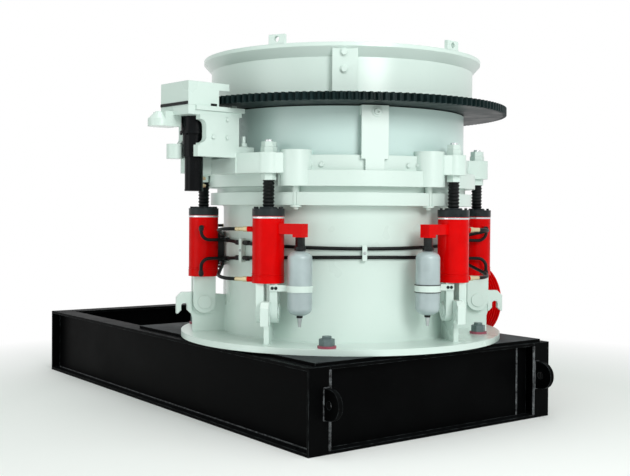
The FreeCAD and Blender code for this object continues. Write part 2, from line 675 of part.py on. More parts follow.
def make_clamp(index, azimuth, direction, sign, reach):
    """Band round a bottle, strapped to the front edge of the clevis ear beside it."""
    outer = upright("band_outer", "bottle_radius + band_thick", "band_low", "band_high", "0", reach)
    inner = upright("band_inner", "bottle_radius + seat_clearance", "band_low - overlap",
                    "band_high + overlap", "0", reach)
    start = f"0 {sign} ear_gap / 2"
    end = f"({reach}) * cos({direction} - {azimuth})"
    low, high = (start, end) if sign == "+" else (end, start)
    strap = box("strap", ("ear_width / 2", low, "band_low"),
                ("ear_width / 2 + strap_thick", high, "band_high"))
    blank = fused(f"clamp_blank_{index}", [
        stand_at(outer, f"band_copy_{index}", azimuth, azimuth),
        stand_at(strap, f"strap_copy_{index}", azimuth, direction)])
    return cut(f"clamp_{index}", blank, stand_at(inner, f"band_bore_{index}", azimuth, azimuth))


def make_accumulators():
    """Four bottles, each on an arm of its cylinder, with a neck, a valve and a clamp."""
    sets = {"accumulator_bottles": [], "accumulator_fittings": [], "accumulator_valves": [],
            "accumulator_arms": [], "accumulator_clamps": []}
    for index, (azimuth, direction, side, length) in enumerate(armed_cylinders(), start=1):
        sign = "+" if side == "-" else "-"
        reach = f"(0 {sign} {length})"
        for label, piece in (("accumulator_bottles", make_bottle(reach)),
                             ("accumulator_fittings", make_neck(reach)),
                             ("accumulator_valves", make_valve(reach)),
                             ("accumulator_arms", make_arm(reach, sign))):
            sets[label].append(stand_at(piece, f"{label}_copy_{index}", azimuth, azimuth))
        sets["accumulator_clamps"].append(make_clamp(index, azimuth, direction, sign, reach))
    for label, pieces in sets.items():
        publish(gathered(f"{label}_set", pieces), label)


def make_half_line(name, level, sign, radius):
    """Half ring round the shell, from manifold to manifold, its front nearer the other line."""
    ring = doc.addObject("Part::Torus", f"{name}_ring")
    margin = "2 * asin((manifold_width / 2 + 1) / (hose_circle - hose_radius))"
    bind(ring, Radius1="hose_circle", Radius2=radius, Angle3=f"180 deg - {margin}")
    span = value(f"90 deg - {margin} / 2")
    ring.Placement = Placement(Vector(0, 0, 0), Rotation(Vector(0, 0, 1), -span))
    bind(ring, Placement__Rotation__Angle=f"{margin} / 2 - 90 deg")
    tilted = gathered(name, [ring])
    tilt = f"(0 {sign} line_tilt)"
    tilted.Placement = Placement(Vector(0, 0, 0), Rotation(Vector(0, 1, 0), value(tilt)))
    return bind(tilted, Placement__Rotation__Angle=tilt,
                Placement__Base__z=f"{level} + hose_circle * sin({tilt})")


def rounded_path(points, radius):
    """Straight runs joined by tangent arcs of one radius at the inner points."""
    edges = []
    start = points[0]
    for before, corner, after in zip(points, points[1:], points[2:]):
        arriving = (corner - before).normalize()
        leaving = (after - corner).normalize()
        bend = arriving.getAngle(leaving)
        trim = radius * math.tan(bend / 2)
        first = corner - arriving * trim
        last = corner + leaving * trim
        inward = (leaving - arriving).normalize()
        middle = corner + inward * (radius / math.cos(bend / 2) - radius)
        edges.append(Part.LineSegment(start, first).toShape())
        edges.append(Part.Arc(first, middle, last).toShape())
        start = last
    edges.append(Part.LineSegment(start, points[-1]).toShape())
    return Part.Wire(edges)


def make_hose(name, corners, bend):
    """Round hose along a path in the frame of the mirror plane."""
    radius = value("hose_radius")
    points = [Vector(*(value(number) for number in corner)) for corner in corners]
    path = rounded_path(points, value(bend))
    rim = Part.Wire(Part.makeCircle(radius, points[0], points[1] - points[0]))
    hose = doc.addObject("Part::Feature", name)
    hose.Shape = path.makePipeShell([rim], True, False)
    share = hose.Shape.Volume / (math.pi * radius ** 2 * path.Length)
    if abs(share - 1) > 0.005:
        raise RuntimeError(f"{name} pinches along its path: {share:.4f}")
    print(name, "length", round(path.Length), "bend radius", value(bend))
    return copy_at(hose, f"{name}_turned", "mirror_azimuth")


def make_front_branches(word, sign):
    """Upper and lower hose of a front cylinder, from its couplings to the manifold."""
    hoses = []
    start = "(port_reach + coupling_length)"
    heading = "(front_pair + port_angle)"
    centre = polar("cylinder_circle", "front_pair")
    for level in ("upper", "lower"):
        corners = []
        for reach in (start, f"({start} + branch_lead)"):
            step = polar(reach, heading)
            corners.append((f"{centre[0]} + {step[0]}",
                            f"(0 {sign} 1) * ({centre[1]} + {step[1]})", f"port_{level}"))
        side = f"(0 {sign} branch_radius)"
        corners.append(("branch_approach", side, f"branch_{level}"))
        corners.append(("manifold_width / 2", side, f"branch_{level}"))
        hoses.append(make_hose(f"branch_{word}_{level}", corners, "branch_bend"))
    return hoses


def make_side_branches(word, sign):
    """Upper and lower hose of a side cylinder, from its elbows to the tees on the lines."""
    hoses = []
    centre = polar("cylinder_circle", "side_pair")
    step = polar("elbow_reach", "(side_pair - port_angle)")
    across = f"{centre[0]} + {step[0]}"
    along = f"(0 {sign} 1) * ({centre[1]} + {step[1]})"
    end = polar("(nipple_reach + seat_clearance)", "tee_offset")
    for level, drop in (("upper", "-"), ("lower", "+")):
        height = tee_level(level)
        corners = [(across, along, f"port_{level} {drop} elbow_drop"), (across, along, height),
                   (end[0], f"(0 {sign} 1) * {end[1]}", height)]
        hoses.append(make_hose(f"side_branch_{word}_{level}", corners, "elbow_bend"))
    return hoses


def tee_level(level):
    """Height of a line at its tees."""
    sign = "+" if level == "upper" else "-"
    return f"line_{level} {sign} hose_circle * sin(line_tilt) * (1 - cos(tee_offset))"


def make_hydraulics():
    """Two lines round the shell, held in clips, with manifolds, tees, couplings and branches."""
    lines = {"upper": "+", "lower": "-"}
    halves = []
    sleeves = []
    for level, sign in lines.items():
        half = make_half_line(f"half_line_{level}", f"line_{level}", sign, "hose_radius")
        azimuths = ("mirror_azimuth", "mirror_azimuth + 180")
        halves += copies(half, f"half_line_{level}_copy", azimuths)
        sleeves.append(make_half_line(f"sleeve_{level}", f"line_{level}", sign,
                                      "hose_radius + seat_clearance"))
    publish(gathered("line_set", halves), "hose_lines")
    bores = copy_at(gathered("sleeves", sleeves), "sleeves_turned", "mirror_azimuth")
    clips = []
    for name, low, high, offset in (
            ("front", "clip_low", "clip_high", "0"),
            ("left", "side_clip_low", "side_clip_high", "0 - clip_offset"),
            ("right", "side_clip_low", "side_clip_high", "0 + clip_offset")):
        blank = box(f"clip_{name}_blank", ("shell_radius + seat_clearance", "-clip_width / 2", low),
                    ("clip_reach", "clip_width / 2", high))
        place = copy_at(blank, f"clip_{name}_turned", f"mirror_azimuth + {offset}")
        clips.append(cut(f"clip_{name}", place, bores))
    publish(gathered("clip_set", copies(gathered("front_clips", clips), "clips", ("0", "180"))),
            "hose_clips")
    manifold = box("manifold", ("shell_radius + seat_clearance", "-manifold_width / 2",
                                "manifold_low"),
                   ("manifold_reach", "manifold_width / 2", "manifold_high"))
    fittings = copies(manifold, "manifold_copy", ("mirror_azimuth - 90", "mirror_azimuth + 90"))
    for level in lines:
        height = tee_level(level)
        run = crosswise(f"tee_run_{level}", "tee_radius", "-tee_length / 2", "tee_length / 2",
                        "hose_circle", height)
        nipple = outward(f"nipple_{level}", "nipple_radius", "hose_circle", "nipple_reach", height)
        tee = fused(f"tee_{level}", [run, nipple])
        for word, sign in (("left", "-"), ("right", "+")):
            place = copy_at(tee, f"tee_{level}_{word}_turned", f"mirror_azimuth {sign} tee_offset")
            fittings.append(cut(f"tee_{level}_{word}", place, bores))
    elbows = []
    for level, drop in (("upper", "-"), ("lower", "+")):
        foot = f"port_{level} {drop} elbow_drop"
        low, high = (foot, f"port_{level}") if drop == "-" else (f"port_{level}", foot)
        elbows.append(fused(f"elbow_{level}", [
            outward(f"elbow_run_{level}", "elbow_radius", "port_reach",
                    "elbow_reach", f"port_{level}"),
            upright(f"elbow_leg_{level}", "elbow_radius", low, high, "elbow_reach")]))
    elbow_pair = gathered("elbow_pair", elbows)
    for index, (azimuth, side) in enumerate(side_cylinders(), start=1):
        fittings.append(stand_at(elbow_pair, f"elbows_{index}", azimuth,
                                 f"{azimuth} {side} port_angle"))
    publish(gathered("fitting_set", fittings), "hose_fittings")
    couplings = []
    for level in lines:
        couplings.append(fused(f"coupling_{level}", [
            outward(f"coupling_nut_{level}", "coupling_nut_radius", "port_reach",
                    "port_reach + coupling_nut_length", f"port_{level}"),
            outward(f"coupling_tail_{level}", "coupling_radius", "port_reach",
                    "port_reach + coupling_length", f"port_{level}")]))
    coupling_pair = gathered("coupling_pair", couplings)
    publish(gathered("coupling_set", [
        stand_at(coupling_pair, f"couplings_{index}", azimuth, f"{azimuth} {side} port_angle")
        for index, (azimuth, _, side, _) in enumerate(armed_cylinders(), start=1)]),
        "hose_couplings")
    front = []
    sides = []
    for word, sign in (("left", "-"), ("right", "+")):
        front += make_front_branches(word, sign)
        sides += make_side_branches(word, sign)
    loops = copies(gathered("front_branches", front), "branches", ("0", "180"))
    publish(gathered("loop_set", loops + sides), "hose_loops")


def make_ring_lug():
    """Lug over a cylinder: a round nose on a root that runs into the ring."""
    nose = upright("ring_lug_nose", "lug_radius", "ring_lug_bottom", "ring_lug_top",
                   "cylinder_circle")
    root = box("ring_lug_root", ("ring_bore_radius + overlap", "-lug_radius", "ring_lug_bottom"),
               ("cylinder_circle", "lug_radius", "ring_top"))
    step = box("ring_lug_step", ("dust_shell_radius + overlap", "-lug_radius", "ring_lug_bottom"),
               ("cylinder_circle", "lug_radius", "ring_lug_top"))
    return fused("ring_lug", [nose, root, step])


def make_rod_passage():
    """Rod hole through a lug, with a pocket under and over it for the nuts."""
    hole = upright("ring_lug_hole", "rod_radius + seat_clearance", "ring_lug_bottom - overlap",
                   "ring_lug_top + overlap", "cylinder_circle")
    under = upright("nut_pocket_under", "nut_pocket_radius", "shell_top", "ring_lug_bottom",
                    "cylinder_circle")
    over = upright("nut_pocket_over", "nut_pocket_radius", "ring_lug_top",
                   "guide_boss_top + overlap", "cylinder_circle")
    return fused("rod_passage", [hole, under, over])


def make_adjustment_ring():
    bottom = "shell_top + seat_gap"
    seat = "shell_top + seat_clearance"
    band = f"{bottom} + ring_band_height"
    ring = revolved("ring", [
        ("ring_bore_radius", seat), ("seat_radius", seat), ("seat_radius", bottom),
        ("ring_radius", bottom), ("ring_radius", band), ("ring_upper_radius", band),
        ("ring_upper_radius", "ring_top"), ("ring_bore_radius", "ring_top")])
    lugs = copies(make_ring_lug(), "ring_lug_copy", cylinder_azimuths())
    boss = upright("guide_boss", "guide_boss_radius", bottom, "guide_boss_top",
                   "guide_pin_circle")
    bosses = copies(boss, "guide_boss_copy", guide_azimuths())
    platform = copy_at(box("drive_platform",
                           ("ring_bore_radius + overlap", "-arm_outer", "ring_lug_bottom"),
                           ("platform_reach", "arm_outer", "arm_bottom")),
                       "drive_platform_turned", DRIVE_AZIMUTH)
    core = upright("ring_core", "ring_bore_radius", "shell_top - overlap",
                   "guide_boss_top + overlap")
    collar = upright("ring_collar", "dust_shell_radius + seat_clearance", "ring_top",
                     "guide_boss_top + overlap")
    passages = copies(make_rod_passage(), "rod_passage_copy", cylinder_azimuths())
    bore = upright("guide_bore", "guide_pin_radius + seat_clearance", "shell_top",
                   "guide_bore_top", "guide_pin_circle")
    bores = copies(bore, "guide_bore_copy", guide_azimuths())
    blank = fused("ring_blank", [ring, platform] + lugs + bosses)
    cuts = fused("ring_cuts", [core, collar] + passages + bores)
    publish(cut("ring_machined", blank, cuts), "adjustment_ring")


def make_guide_pins():
    """Upright pins held in the frame's top flange, on which the ring's bosses slide."""
    under = "shell_top - top_flange_thick"
    washer = f"{under} - guide_washer_thick"
    pin = fused("guide_pin", [
        upright("guide_shank", "guide_pin_radius", under, "guide_pin_top", "guide_pin_circle"),
        upright("guide_washer", "guide_washer_radius", washer, under, "guide_pin_circle"),
        upright("guide_tail", "guide_tail_radius", f"{under} - guide_tail_drop", washer,
                "guide_pin_circle")])
    publish(gathered("guide_pin_set", copies(pin, "guide_pin_copy", guide_azimuths())),
            "guide_pins")


def make_dust_shell():
    publish(revolved("dust_shell_body", [
        ("dust_shell_radius - dust_shell_wall", "ring_top"), ("dust_shell_radius", "ring_top"),
        ("dust_shell_radius", "gear_bottom - gear_overlap"),
        ("dust_shell_radius - dust_shell_wall", "gear_bottom - gear_overlap")]), "dust_shell")
    half = "stop_width / 2"
    face = "(ring_upper_radius + 2 * clearance_gap)"
    top = "gear_bottom - gear_overlap"
    plate = fused("stop_blank", [
        box("stop_face", (face, f"-{half}", "stop_bottom"),
            (f"{face} + stop_thick", half, top)),
        box("stop_spacer", ("dust_shell_radius + seat_clearance", f"-{half}",
                            f"{top} - stop_spacer_height"), (f"{face} + overlap", half, top)),
        box("stop_foot", (face, "-stop_foot_width / 2",
                          "shell_top + seat_gap + ring_band_height"),
            (f"{face} + stop_thick", "stop_foot_width / 2", "stop_bottom + overlap"))])
    publish(turn(gathered("stop", [plate]), "stop_azimuth"), "stop_plate")


def make_bowl():
    cap_bottom = "gear_bottom - bowl_cap_height"
    thread = "ring_bore_radius - thread_clearance"
    publish(revolved("bowl_body", [
        ("bowl_skirt_radius + liner_thick", "bowl_bottom"), (thread, "bowl_bottom"),
        (thread, cap_bottom), ("bowl_cap_radius", cap_bottom),
        ("bowl_cap_radius", "gear_bottom"), ("bowl_mouth_radius + liner_thick", "gear_bottom"),
        ("throat_radius + liner_thick", "throat_height")]), "bowl")
    publish(revolved("liner_body", [
        ("bowl_skirt_radius", "bowl_bottom"),
        ("bowl_skirt_radius + liner_thick - thread_clearance", "bowl_bottom"),
        ("throat_radius + liner_thick - thread_clearance", "throat_height"),
        ("bowl_mouth_radius + liner_thick - thread_clearance", "gear_bottom"),
        ("bowl_mouth_radius", "gear_bottom"), ("throat_radius", "throat_height")]), "bowl_liner")


def make_hopper():
    base = "gear_bottom + gear_thick"
    top = f"({base} + hopper_height)"
    rim_bottom = f"({top} - hopper_rim_height)"
    flare_bottom = f"({rim_bottom} - hopper_flare_height)"
    inner = "hopper_radius - hopper_wall"
    publish(revolved("hopper_shell", [
        (inner, base), ("hopper_radius", base), ("hopper_radius", flare_bottom),
        ("hopper_rim_radius", rim_bottom), ("hopper_rim_radius", top),
        ("hopper_rim_radius - hopper_wall * 2", top),
        ("hopper_rim_radius - hopper_wall * 2", rim_bottom),
        (inner, flare_bottom)]), "feed_hopper")
    funnel_top = f"{flare_bottom} - funnel_drop"
    publish(revolved("funnel_body", [
        ("bowl_mouth_radius", base), ("bowl_mouth_radius + funnel_thick * 2", base),
        (f"{inner} - seat_clearance", f"{funnel_top} - funnel_thick"),
        (f"{inner} - seat_clearance", funnel_top)]), "hopper_funnel")
    ear = box("rim_ear_blank", ("hopper_rim_radius - rim_ear_thick", "-rim_ear_width / 2", top),
              ("hopper_rim_radius", "rim_ear_width / 2", f"{top} + rim_ear_height"))
    eye = doc.addObject("Part::Cylinder", "rim_ear_eye")
    eye.Placement = Placement(Vector(0, 0, 0), Rotation(Vector(0, 1, 0), 90))
    bind(eye, Radius="rim_ear_hole", Height="rim_ear_thick + 2 * overlap",
         Placement__Base__x="hopper_rim_radius - rim_ear_thick - overlap",
         Placement__Base__z=f"{top} + rim_ear_height / 2")
    ear = cut("rim_ear", ear, eye)
    count = int(value("rim_ear_count"))
    azimuths = [f"rim_ear_azimuth + {index} * 360 / rim_ear_count" for index in range(count)]
    publish(gathered("rim_ear_set", copies(ear, "rim_ear_copy", azimuths)), "hopper_ears")
    bar = box("bar_blank", ("hopper_radius + seat_clearance", "-bar_width / 2",
                            f"{base} + bar_foot"),
              ("hopper_radius + bar_thick", "bar_width / 2", f"{rim_bottom} - bar_drop"))
    flare = doc.addObject("Part::Cone", "hopper_flare")
    bind(flare, Radius1="hopper_radius + seat_clearance",
         Radius2="hopper_rim_radius + seat_clearance",
         Height="hopper_flare_height", Placement__Base__z=flare_bottom)
    publish(turn(cut("bar", bar, flare), "bar_azimuth"), "hopper_bar")


def involute(angle):
    return math.tan(angle) - angle


def tooth_half_angle(radius, teeth):
    """Half the angle that a 20 degree involute tooth fills at a radius."""
    pitch = value("gear_module") * teeth / 2
    pressure = math.radians(20)
    base = pitch * math.cos(pressure)
    slack = value("gear_backlash") / 4 / pitch
    return math.pi / 2 / teeth - slack + involute(pressure) - involute(
        math.acos(min(1.0, base / radius)))


def gear_face(teeth, first_tooth, flank_steps):
    """Outline of a spur gear: each tooth rises over its involute flanks."""
    pitch = value("gear_module") * teeth / 2
    root = pitch - value("gear_dedendum")
    tip = pitch + value("gear_addendum")
    base = max(root, pitch * math.cos(math.radians(20)))
    radii = [base + (tip - base) * step / flank_steps for step in range(flank_steps + 1)]
    flank = [(radius, tooth_half_angle(radius, teeth)) for radius in radii]
    if base > root:
        flank.insert(0, (root, flank[0][1]))
    profile = [(radius, -half) for radius, half in flank]
    profile += [(radius, half) for radius, half in reversed(flank)]
    points = []
    for tooth in range(teeth):
        centre = first_tooth + 2 * math.pi * tooth / teeth
        points += [Vector(radius * math.cos(centre + turned), radius * math.sin(centre + turned), 0)
                   for radius, turned in profile]
    return Part.Face(Part.makePolygon(points + points[:1]))


def make_gears():
    teeth = int(value("gear_teeth"))
    low = value("gear_bottom")
    blank = gear_face(teeth, 0, 1).extrude(Vector(0, 0, value("gear_thick")))
    bore = Part.makeCylinder(value("bowl_mouth_radius"), value("gear_thick"))
    ring = doc.addObject("Part::Feature", "ring_gear_body")
    ring.Shape = blank.cut(bore)
    ring.Placement = Placement(Vector(0, 0, low), Rotation(Vector(0, 0, 1), 0))
    publish(ring, "ring_gear")
    count = int(value("pinion_teeth"))
    overlap = value("gear_overlap")
    azimuth = value(DRIVE_AZIMUTH)
    centre = value(GEAR_CENTRES)
    phase = math.pi + math.pi / count
    body = gear_face(count, phase, 3).extrude(Vector(0, 0, value("gear_thick") + 2 * overlap))
    bottom = value("table_bottom") + value("seat_clearance")
    shaft = Part.makeCylinder(value("pinion_shaft_radius"), low - overlap - bottom,
                              Vector(0, 0, bottom - low + overlap))
    pinion = doc.addObject("Part::Feature", "pinion_body")
    pinion.Shape = body.fuse(shaft).removeSplitter()
    turned = Rotation(Vector(0, 0, 1), azimuth)
    pinion.Placement = Placement(turned.multVec(Vector(centre, 0, 0)) +
                                 Vector(0, 0, low - overlap), turned)
    publish(pinion, "pinion")


def make_notch():
    """Round-cornered notch through both columns, open to the outside, beside the motor."""
    edge = "arm_outer + overlap"
    middle = "notch_start + notch_radius"
    low, high = "arm_nose_high + notch_radius", "notch_top - notch_radius"
    return [
        box("notch_wall", ("notch_start", f"-({edge})", low), ("column_outer + overlap", edge, high)),
        box("notch_floor", (middle, f"-({edge})", "arm_nose_high"),
            ("column_outer + overlap", edge, "notch_top")),
        crosswise("notch_lower", "notch_radius", f"-({edge})", edge, middle, low),
        crosswise("notch_upper", "notch_radius", f"-({edge})", edge, middle, high)]


def make_drive():
    """Fork bracket, table, guard and motor that turn the bowl."""
    pieces = []
    for side, low, high in (("left", "-arm_outer", "-arm_inner"),
                            ("right", "arm_inner", "arm_outer")):
        pieces.append(box(f"arm_{side}", ("ring_upper_radius + clearance_gap", low, "arm_bottom"),
                          ("arm_reach", high, "arm_top")))
        pieces.append(box(f"column_{side}", ("column_inner", low, "arm_top - overlap"),
                          ("column_outer", high, "table_bottom + overlap")))
    pieces.append(box("arm_rib", ("platform_reach + seat_clearance", "-arm_outer",
                                  "ring_lug_bottom"),
                      ("platform_reach + seat_clearance + arm_rib_length", "-arm_inner",
                       "arm_bottom + overlap")))
    pieces.append(upright("arm_nose", "arm_nose_radius", "arm_nose_low", "arm_nose_high",
                          "arm_reach", "arm_nose_radius - arm_outer"))
    table_end = f"{GEAR_CENTRES} + table_overhang"
    pieces.append(box("table", ("table_start", "-arm_outer", "table_bottom"),
                      (table_end, "arm_outer", "table_top")))
    pieces.append(box("table_edge", ("table_start - table_rim", "-arm_outer - table_rim",
                                     "table_top - table_rim_height"),
                      (f"{table_end} - table_step", "arm_outer + table_rim", "table_top")))
    pieces.append(box("end_lug_root", (f"{table_end} - 2 * end_lug_radius", "-arm_outer",
                                       "end_lug_low"),
                      (f"{table_end} + end_lug_reach", "2 * end_lug_radius - arm_outer",
                       "end_lug_high")))
    nose = revolved("end_lug_nose", [
        ("0", "end_lug_low"), ("end_lug_radius", "end_lug_low"),
        ("end_lug_radius", "end_lug_high - end_lug_bevel"),
        ("end_lug_radius - end_lug_bevel", "end_lug_high"), ("0", "end_lug_high")])
    nose.Placement = Placement(Vector(value(f"{table_end} + end_lug_reach"),
                                      value("end_lug_radius - arm_outer"), 0), Rotation())
    bind(nose, Placement__Base__x=f"{table_end} + end_lug_reach",
         Placement__Base__y="end_lug_radius - arm_outer")
    pieces.append(nose)
    bore = upright("table_bore", "pinion_shaft_radius + running_clearance",
                   "table_bottom - overlap", "table_top + overlap", GEAR_CENTRES)
    recess = upright("reducer_recess", "flange_radius + seat_clearance", "end_lug_low - overlap",
                     "table_bottom", GEAR_CENTRES)
    blank = fused("bracket_blank", pieces)
    cuts = fused("bracket_cuts", [bore, recess] + make_notch())
    publish(turn(cut("bracket", blank, cuts), DRIVE_AZIMUTH), "drive_bracket")
    reducer = "table_bottom - reducer_height"
    flange = f"{reducer} - flange_height"
    gearbox = f"{flange} - gearbox_height"
    motor = revolved("motor_body", [
        ("0", "motor_bottom"), ("motor_radius", "motor_bottom"), ("motor_radius", gearbox),
        ("gearbox_radius", gearbox), ("gearbox_radius", flange), ("flange_radius", flange),
        ("flange_radius", reducer), ("reducer_radius", reducer),
        ("reducer_radius", "table_bottom"), ("0", "table_bottom")])
    motor.Placement = Placement(Vector(value(GEAR_CENTRES), 0, 0), Rotation())
    bind(motor, Placement__Base__x=GEAR_CENTRES)
    publish(turn(gathered("drive", [motor]), DRIVE_AZIMUTH), "drive_motor")
    guard_end = f"({GEAR_CENTRES} + guard_overhang)"
    guard_start = f"({guard_end} - guard_length)"
    shell = box("guard_shell", (guard_start, "-arm_outer", "table_top"),
                (guard_end, "arm_outer", "guard_top"))
    cavity = box("guard_cavity", (f"{guard_start} - overlap", "guard_wall - arm_outer",
                                  "table_top - overlap"),
                 (f"{guard_end} - guard_wall", "arm_outer - guard_wall",
                  "guard_top - guard_wall"))
    mouth = box("guard_mouth", (f"{guard_start} - overlap", "-arm_outer - overlap",
                                "table_top - overlap"),
                (f"{guard_start} + guard_mouth_length", "arm_outer + overlap", "guard_step"))
    publish(turn(cut("guard", shell, fused("guard_cuts", [cavity, mouth])), DRIVE_AZIMUTH),
            "pinion_guard")


def make_countershaft():
    shaft = crosswise("shaft", "shaft_radius", "shaft_start", "shaft_end", "0", "shaft_height")
    publish(gathered("shaft_set", [shaft]), "countershaft")
    outer = "sheave_radius"
    start = "sheave_start"
    end = "sheave_start + sheave_width"
    middle = "(sheave_start + sheave_width / 2)"
    rim = "sheave_radius - groove_depth - sheave_rim"
    bore = "shaft_radius + seat_clearance"
    corners = [(bore, start), ("sheave_hub_radius", start),
               ("sheave_hub_radius", f"{middle} - sheave_web / 2"),
               (rim, f"{middle} - sheave_web / 2"), (rim, start), (outer, start)]
    count = int(value("groove_count"))
    for index in range(count):
        groove = f"{middle} + ({index} - (groove_count - 1) / 2) * groove_pitch"
        corners += [(outer, f"{groove} - groove_top / 2"),
                    (f"{outer} - groove_depth", f"{groove} - groove_bottom / 2"),
                    (f"{outer} - groove_depth", f"{groove} + groove_bottom / 2"),
                    (outer, f"{groove} + groove_top / 2")]
    corners += [(outer, end), (rim, end), (rim, f"{middle} + sheave_web / 2"),
                ("sheave_hub_radius", f"{middle} + sheave_web / 2"),
                ("sheave_hub_radius", end), (bore, end)]
    sheave = revolved("sheave_body", corners, plane="XY_Plane")
    sheave.Placement = Placement(Vector(0, 0, value("shaft_height")), Rotation())
    publish(bind(sheave, Placement__Base__z="shaft_height"), "drive_sheave")


def check_document():
    """Stop where an object failed or a sub-part has no valid solid."""
    for item in doc.Objects:
        if "Invalid" in item.State or "Error" in item.State:
            raise RuntimeError(f"{item.Name} failed: {item.State}")
    for item in subparts:
        shape = item.Shape
        if shape.isNull() or not shape.isValid() or not shape.Solids:
            raise RuntimeError(f"{item.Label} has no valid solid")


def main():
    fill_sheet()
    make_skid()
    make_deck()
    make_skid_lugs()
    make_main_frame()
    make_foundation_bolts()
    make_head()
    make_cylinders()
    make_accumulators()
    make_hydraulics()
    make_adjustment_ring()
    make_guide_pins()
    make_dust_shell()
    make_bowl()
    make_hopper()
    make_gears()
    make_drive()
    make_countershaft()
    doc.recompute()
    check_document()
    os.makedirs("parts", exist_ok=True)
    for item in subparts:
        item.Shape.exportStep(f"parts/{item.Label}.step")
    print(len(subparts), "sub-parts")


main()
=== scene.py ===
import math

import bpy
import numpy as np
from mathutils import Matrix, Vector


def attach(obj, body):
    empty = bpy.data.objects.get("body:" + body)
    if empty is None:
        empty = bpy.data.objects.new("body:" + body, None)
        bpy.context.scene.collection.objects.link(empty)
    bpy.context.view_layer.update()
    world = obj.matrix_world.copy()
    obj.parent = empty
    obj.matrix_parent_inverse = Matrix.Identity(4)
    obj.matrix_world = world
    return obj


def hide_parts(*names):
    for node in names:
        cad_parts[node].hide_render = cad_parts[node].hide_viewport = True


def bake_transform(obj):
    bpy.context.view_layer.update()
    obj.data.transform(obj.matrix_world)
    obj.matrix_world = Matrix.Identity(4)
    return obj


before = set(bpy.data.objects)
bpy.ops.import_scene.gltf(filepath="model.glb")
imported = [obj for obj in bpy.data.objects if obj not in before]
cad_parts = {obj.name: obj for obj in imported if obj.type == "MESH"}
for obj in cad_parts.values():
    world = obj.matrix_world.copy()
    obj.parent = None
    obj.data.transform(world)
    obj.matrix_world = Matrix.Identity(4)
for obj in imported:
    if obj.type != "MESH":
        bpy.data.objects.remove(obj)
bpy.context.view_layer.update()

# A multi-cylinder cone crusher on its skid, in metres. Z is up and the crusher's axis is
# x = 0, y = 0. Pieces that repeat round the machine are drawn at azimuth 0 and turned.

CAMERA_PLACE = (5.3952, -4.2552, 1.3801)
CAMERA_YAW = 53.354
CAMERA_PITCH = -0.894
CAMERA_ROLL = 0.405
IMAGE_WIDTH = 630
IMAGE_HEIGHT = 476
FOCAL_PIXELS = 983.44
CENTRE_PIXEL = (312.7, 225.94)

SHELL_RADIUS = 0.813
MIRROR_AZIMUTH = -28.0
CYLINDER_CIRCLE = 0.959
SIDE_STEP = 84.4
ARMED_STEP = 37.7
GUIDE_STEP = 28.5
# A cylinder's azimuth and the direction of its rib, in degrees.
SIDE_CYLINDERS = [(MIRROR_AZIMUTH - SIDE_STEP, MIRROR_AZIMUTH - SIDE_STEP),
                  (MIRROR_AZIMUTH + SIDE_STEP, MIRROR_AZIMUTH + SIDE_STEP)]
ARMED_CYLINDERS = [(MIRROR_AZIMUTH - ARMED_STEP, -41.0), (MIRROR_AZIMUTH + ARMED_STEP, -27.0),
                   (MIRROR_AZIMUTH + 180 - ARMED_STEP, 139.0),
                   (MIRROR_AZIMUTH + 180 + ARMED_STEP, 153.0)]
CYLINDERS = SIDE_CYLINDERS + ARMED_CYLINDERS
BOTTLE_REACHES = [0.225, -0.262, 0.225, -0.262]
DRIVE_AZIMUTH = -85.5
GEAR_CENTRES = 1.232
FLANGE_TOP = 0.563
TOP_FLANGE_FOOT = 1.413
RIB_TOP = 0.800
LINE_RADIUS = 0.830
LINE_HEIGHTS = (1.147, 1.094)
LINE_MIDDLE = 1.120
LINE_TILT = 3.2
ARM_TOP = 1.772
TABLE_TOP = 2.007
GEAR_TOP = 2.079
SHEAVE_HEIGHT = 0.703
SHEAVE_FACE = 1.328
HEAD_TOP = 1.391
BOOT_TOP = 1.565
BOOT_FOLDS = 8


class Level:
    """A value socket of a material; arithmetic on it writes Math nodes."""

    def __init__(self, finish, socket):
        self.finish = finish
        self.socket = socket

    def put(self, operation, first, second):
        return self.finish.node("ShaderNodeMath", {"operation": operation},
                                {0: first, 1: second})

    def __add__(self, other):
        return self.put("ADD", self, other)

    def __radd__(self, other):
        return self.put("ADD", other, self)

    def __sub__(self, other):
        return self.put("SUBTRACT", self, other)

    def __rsub__(self, other):
        return self.put("SUBTRACT", other, self)

    def __mul__(self, other):
        return self.put("MULTIPLY", self, other)

    def __rmul__(self, other):
        return self.put("MULTIPLY", other, self)


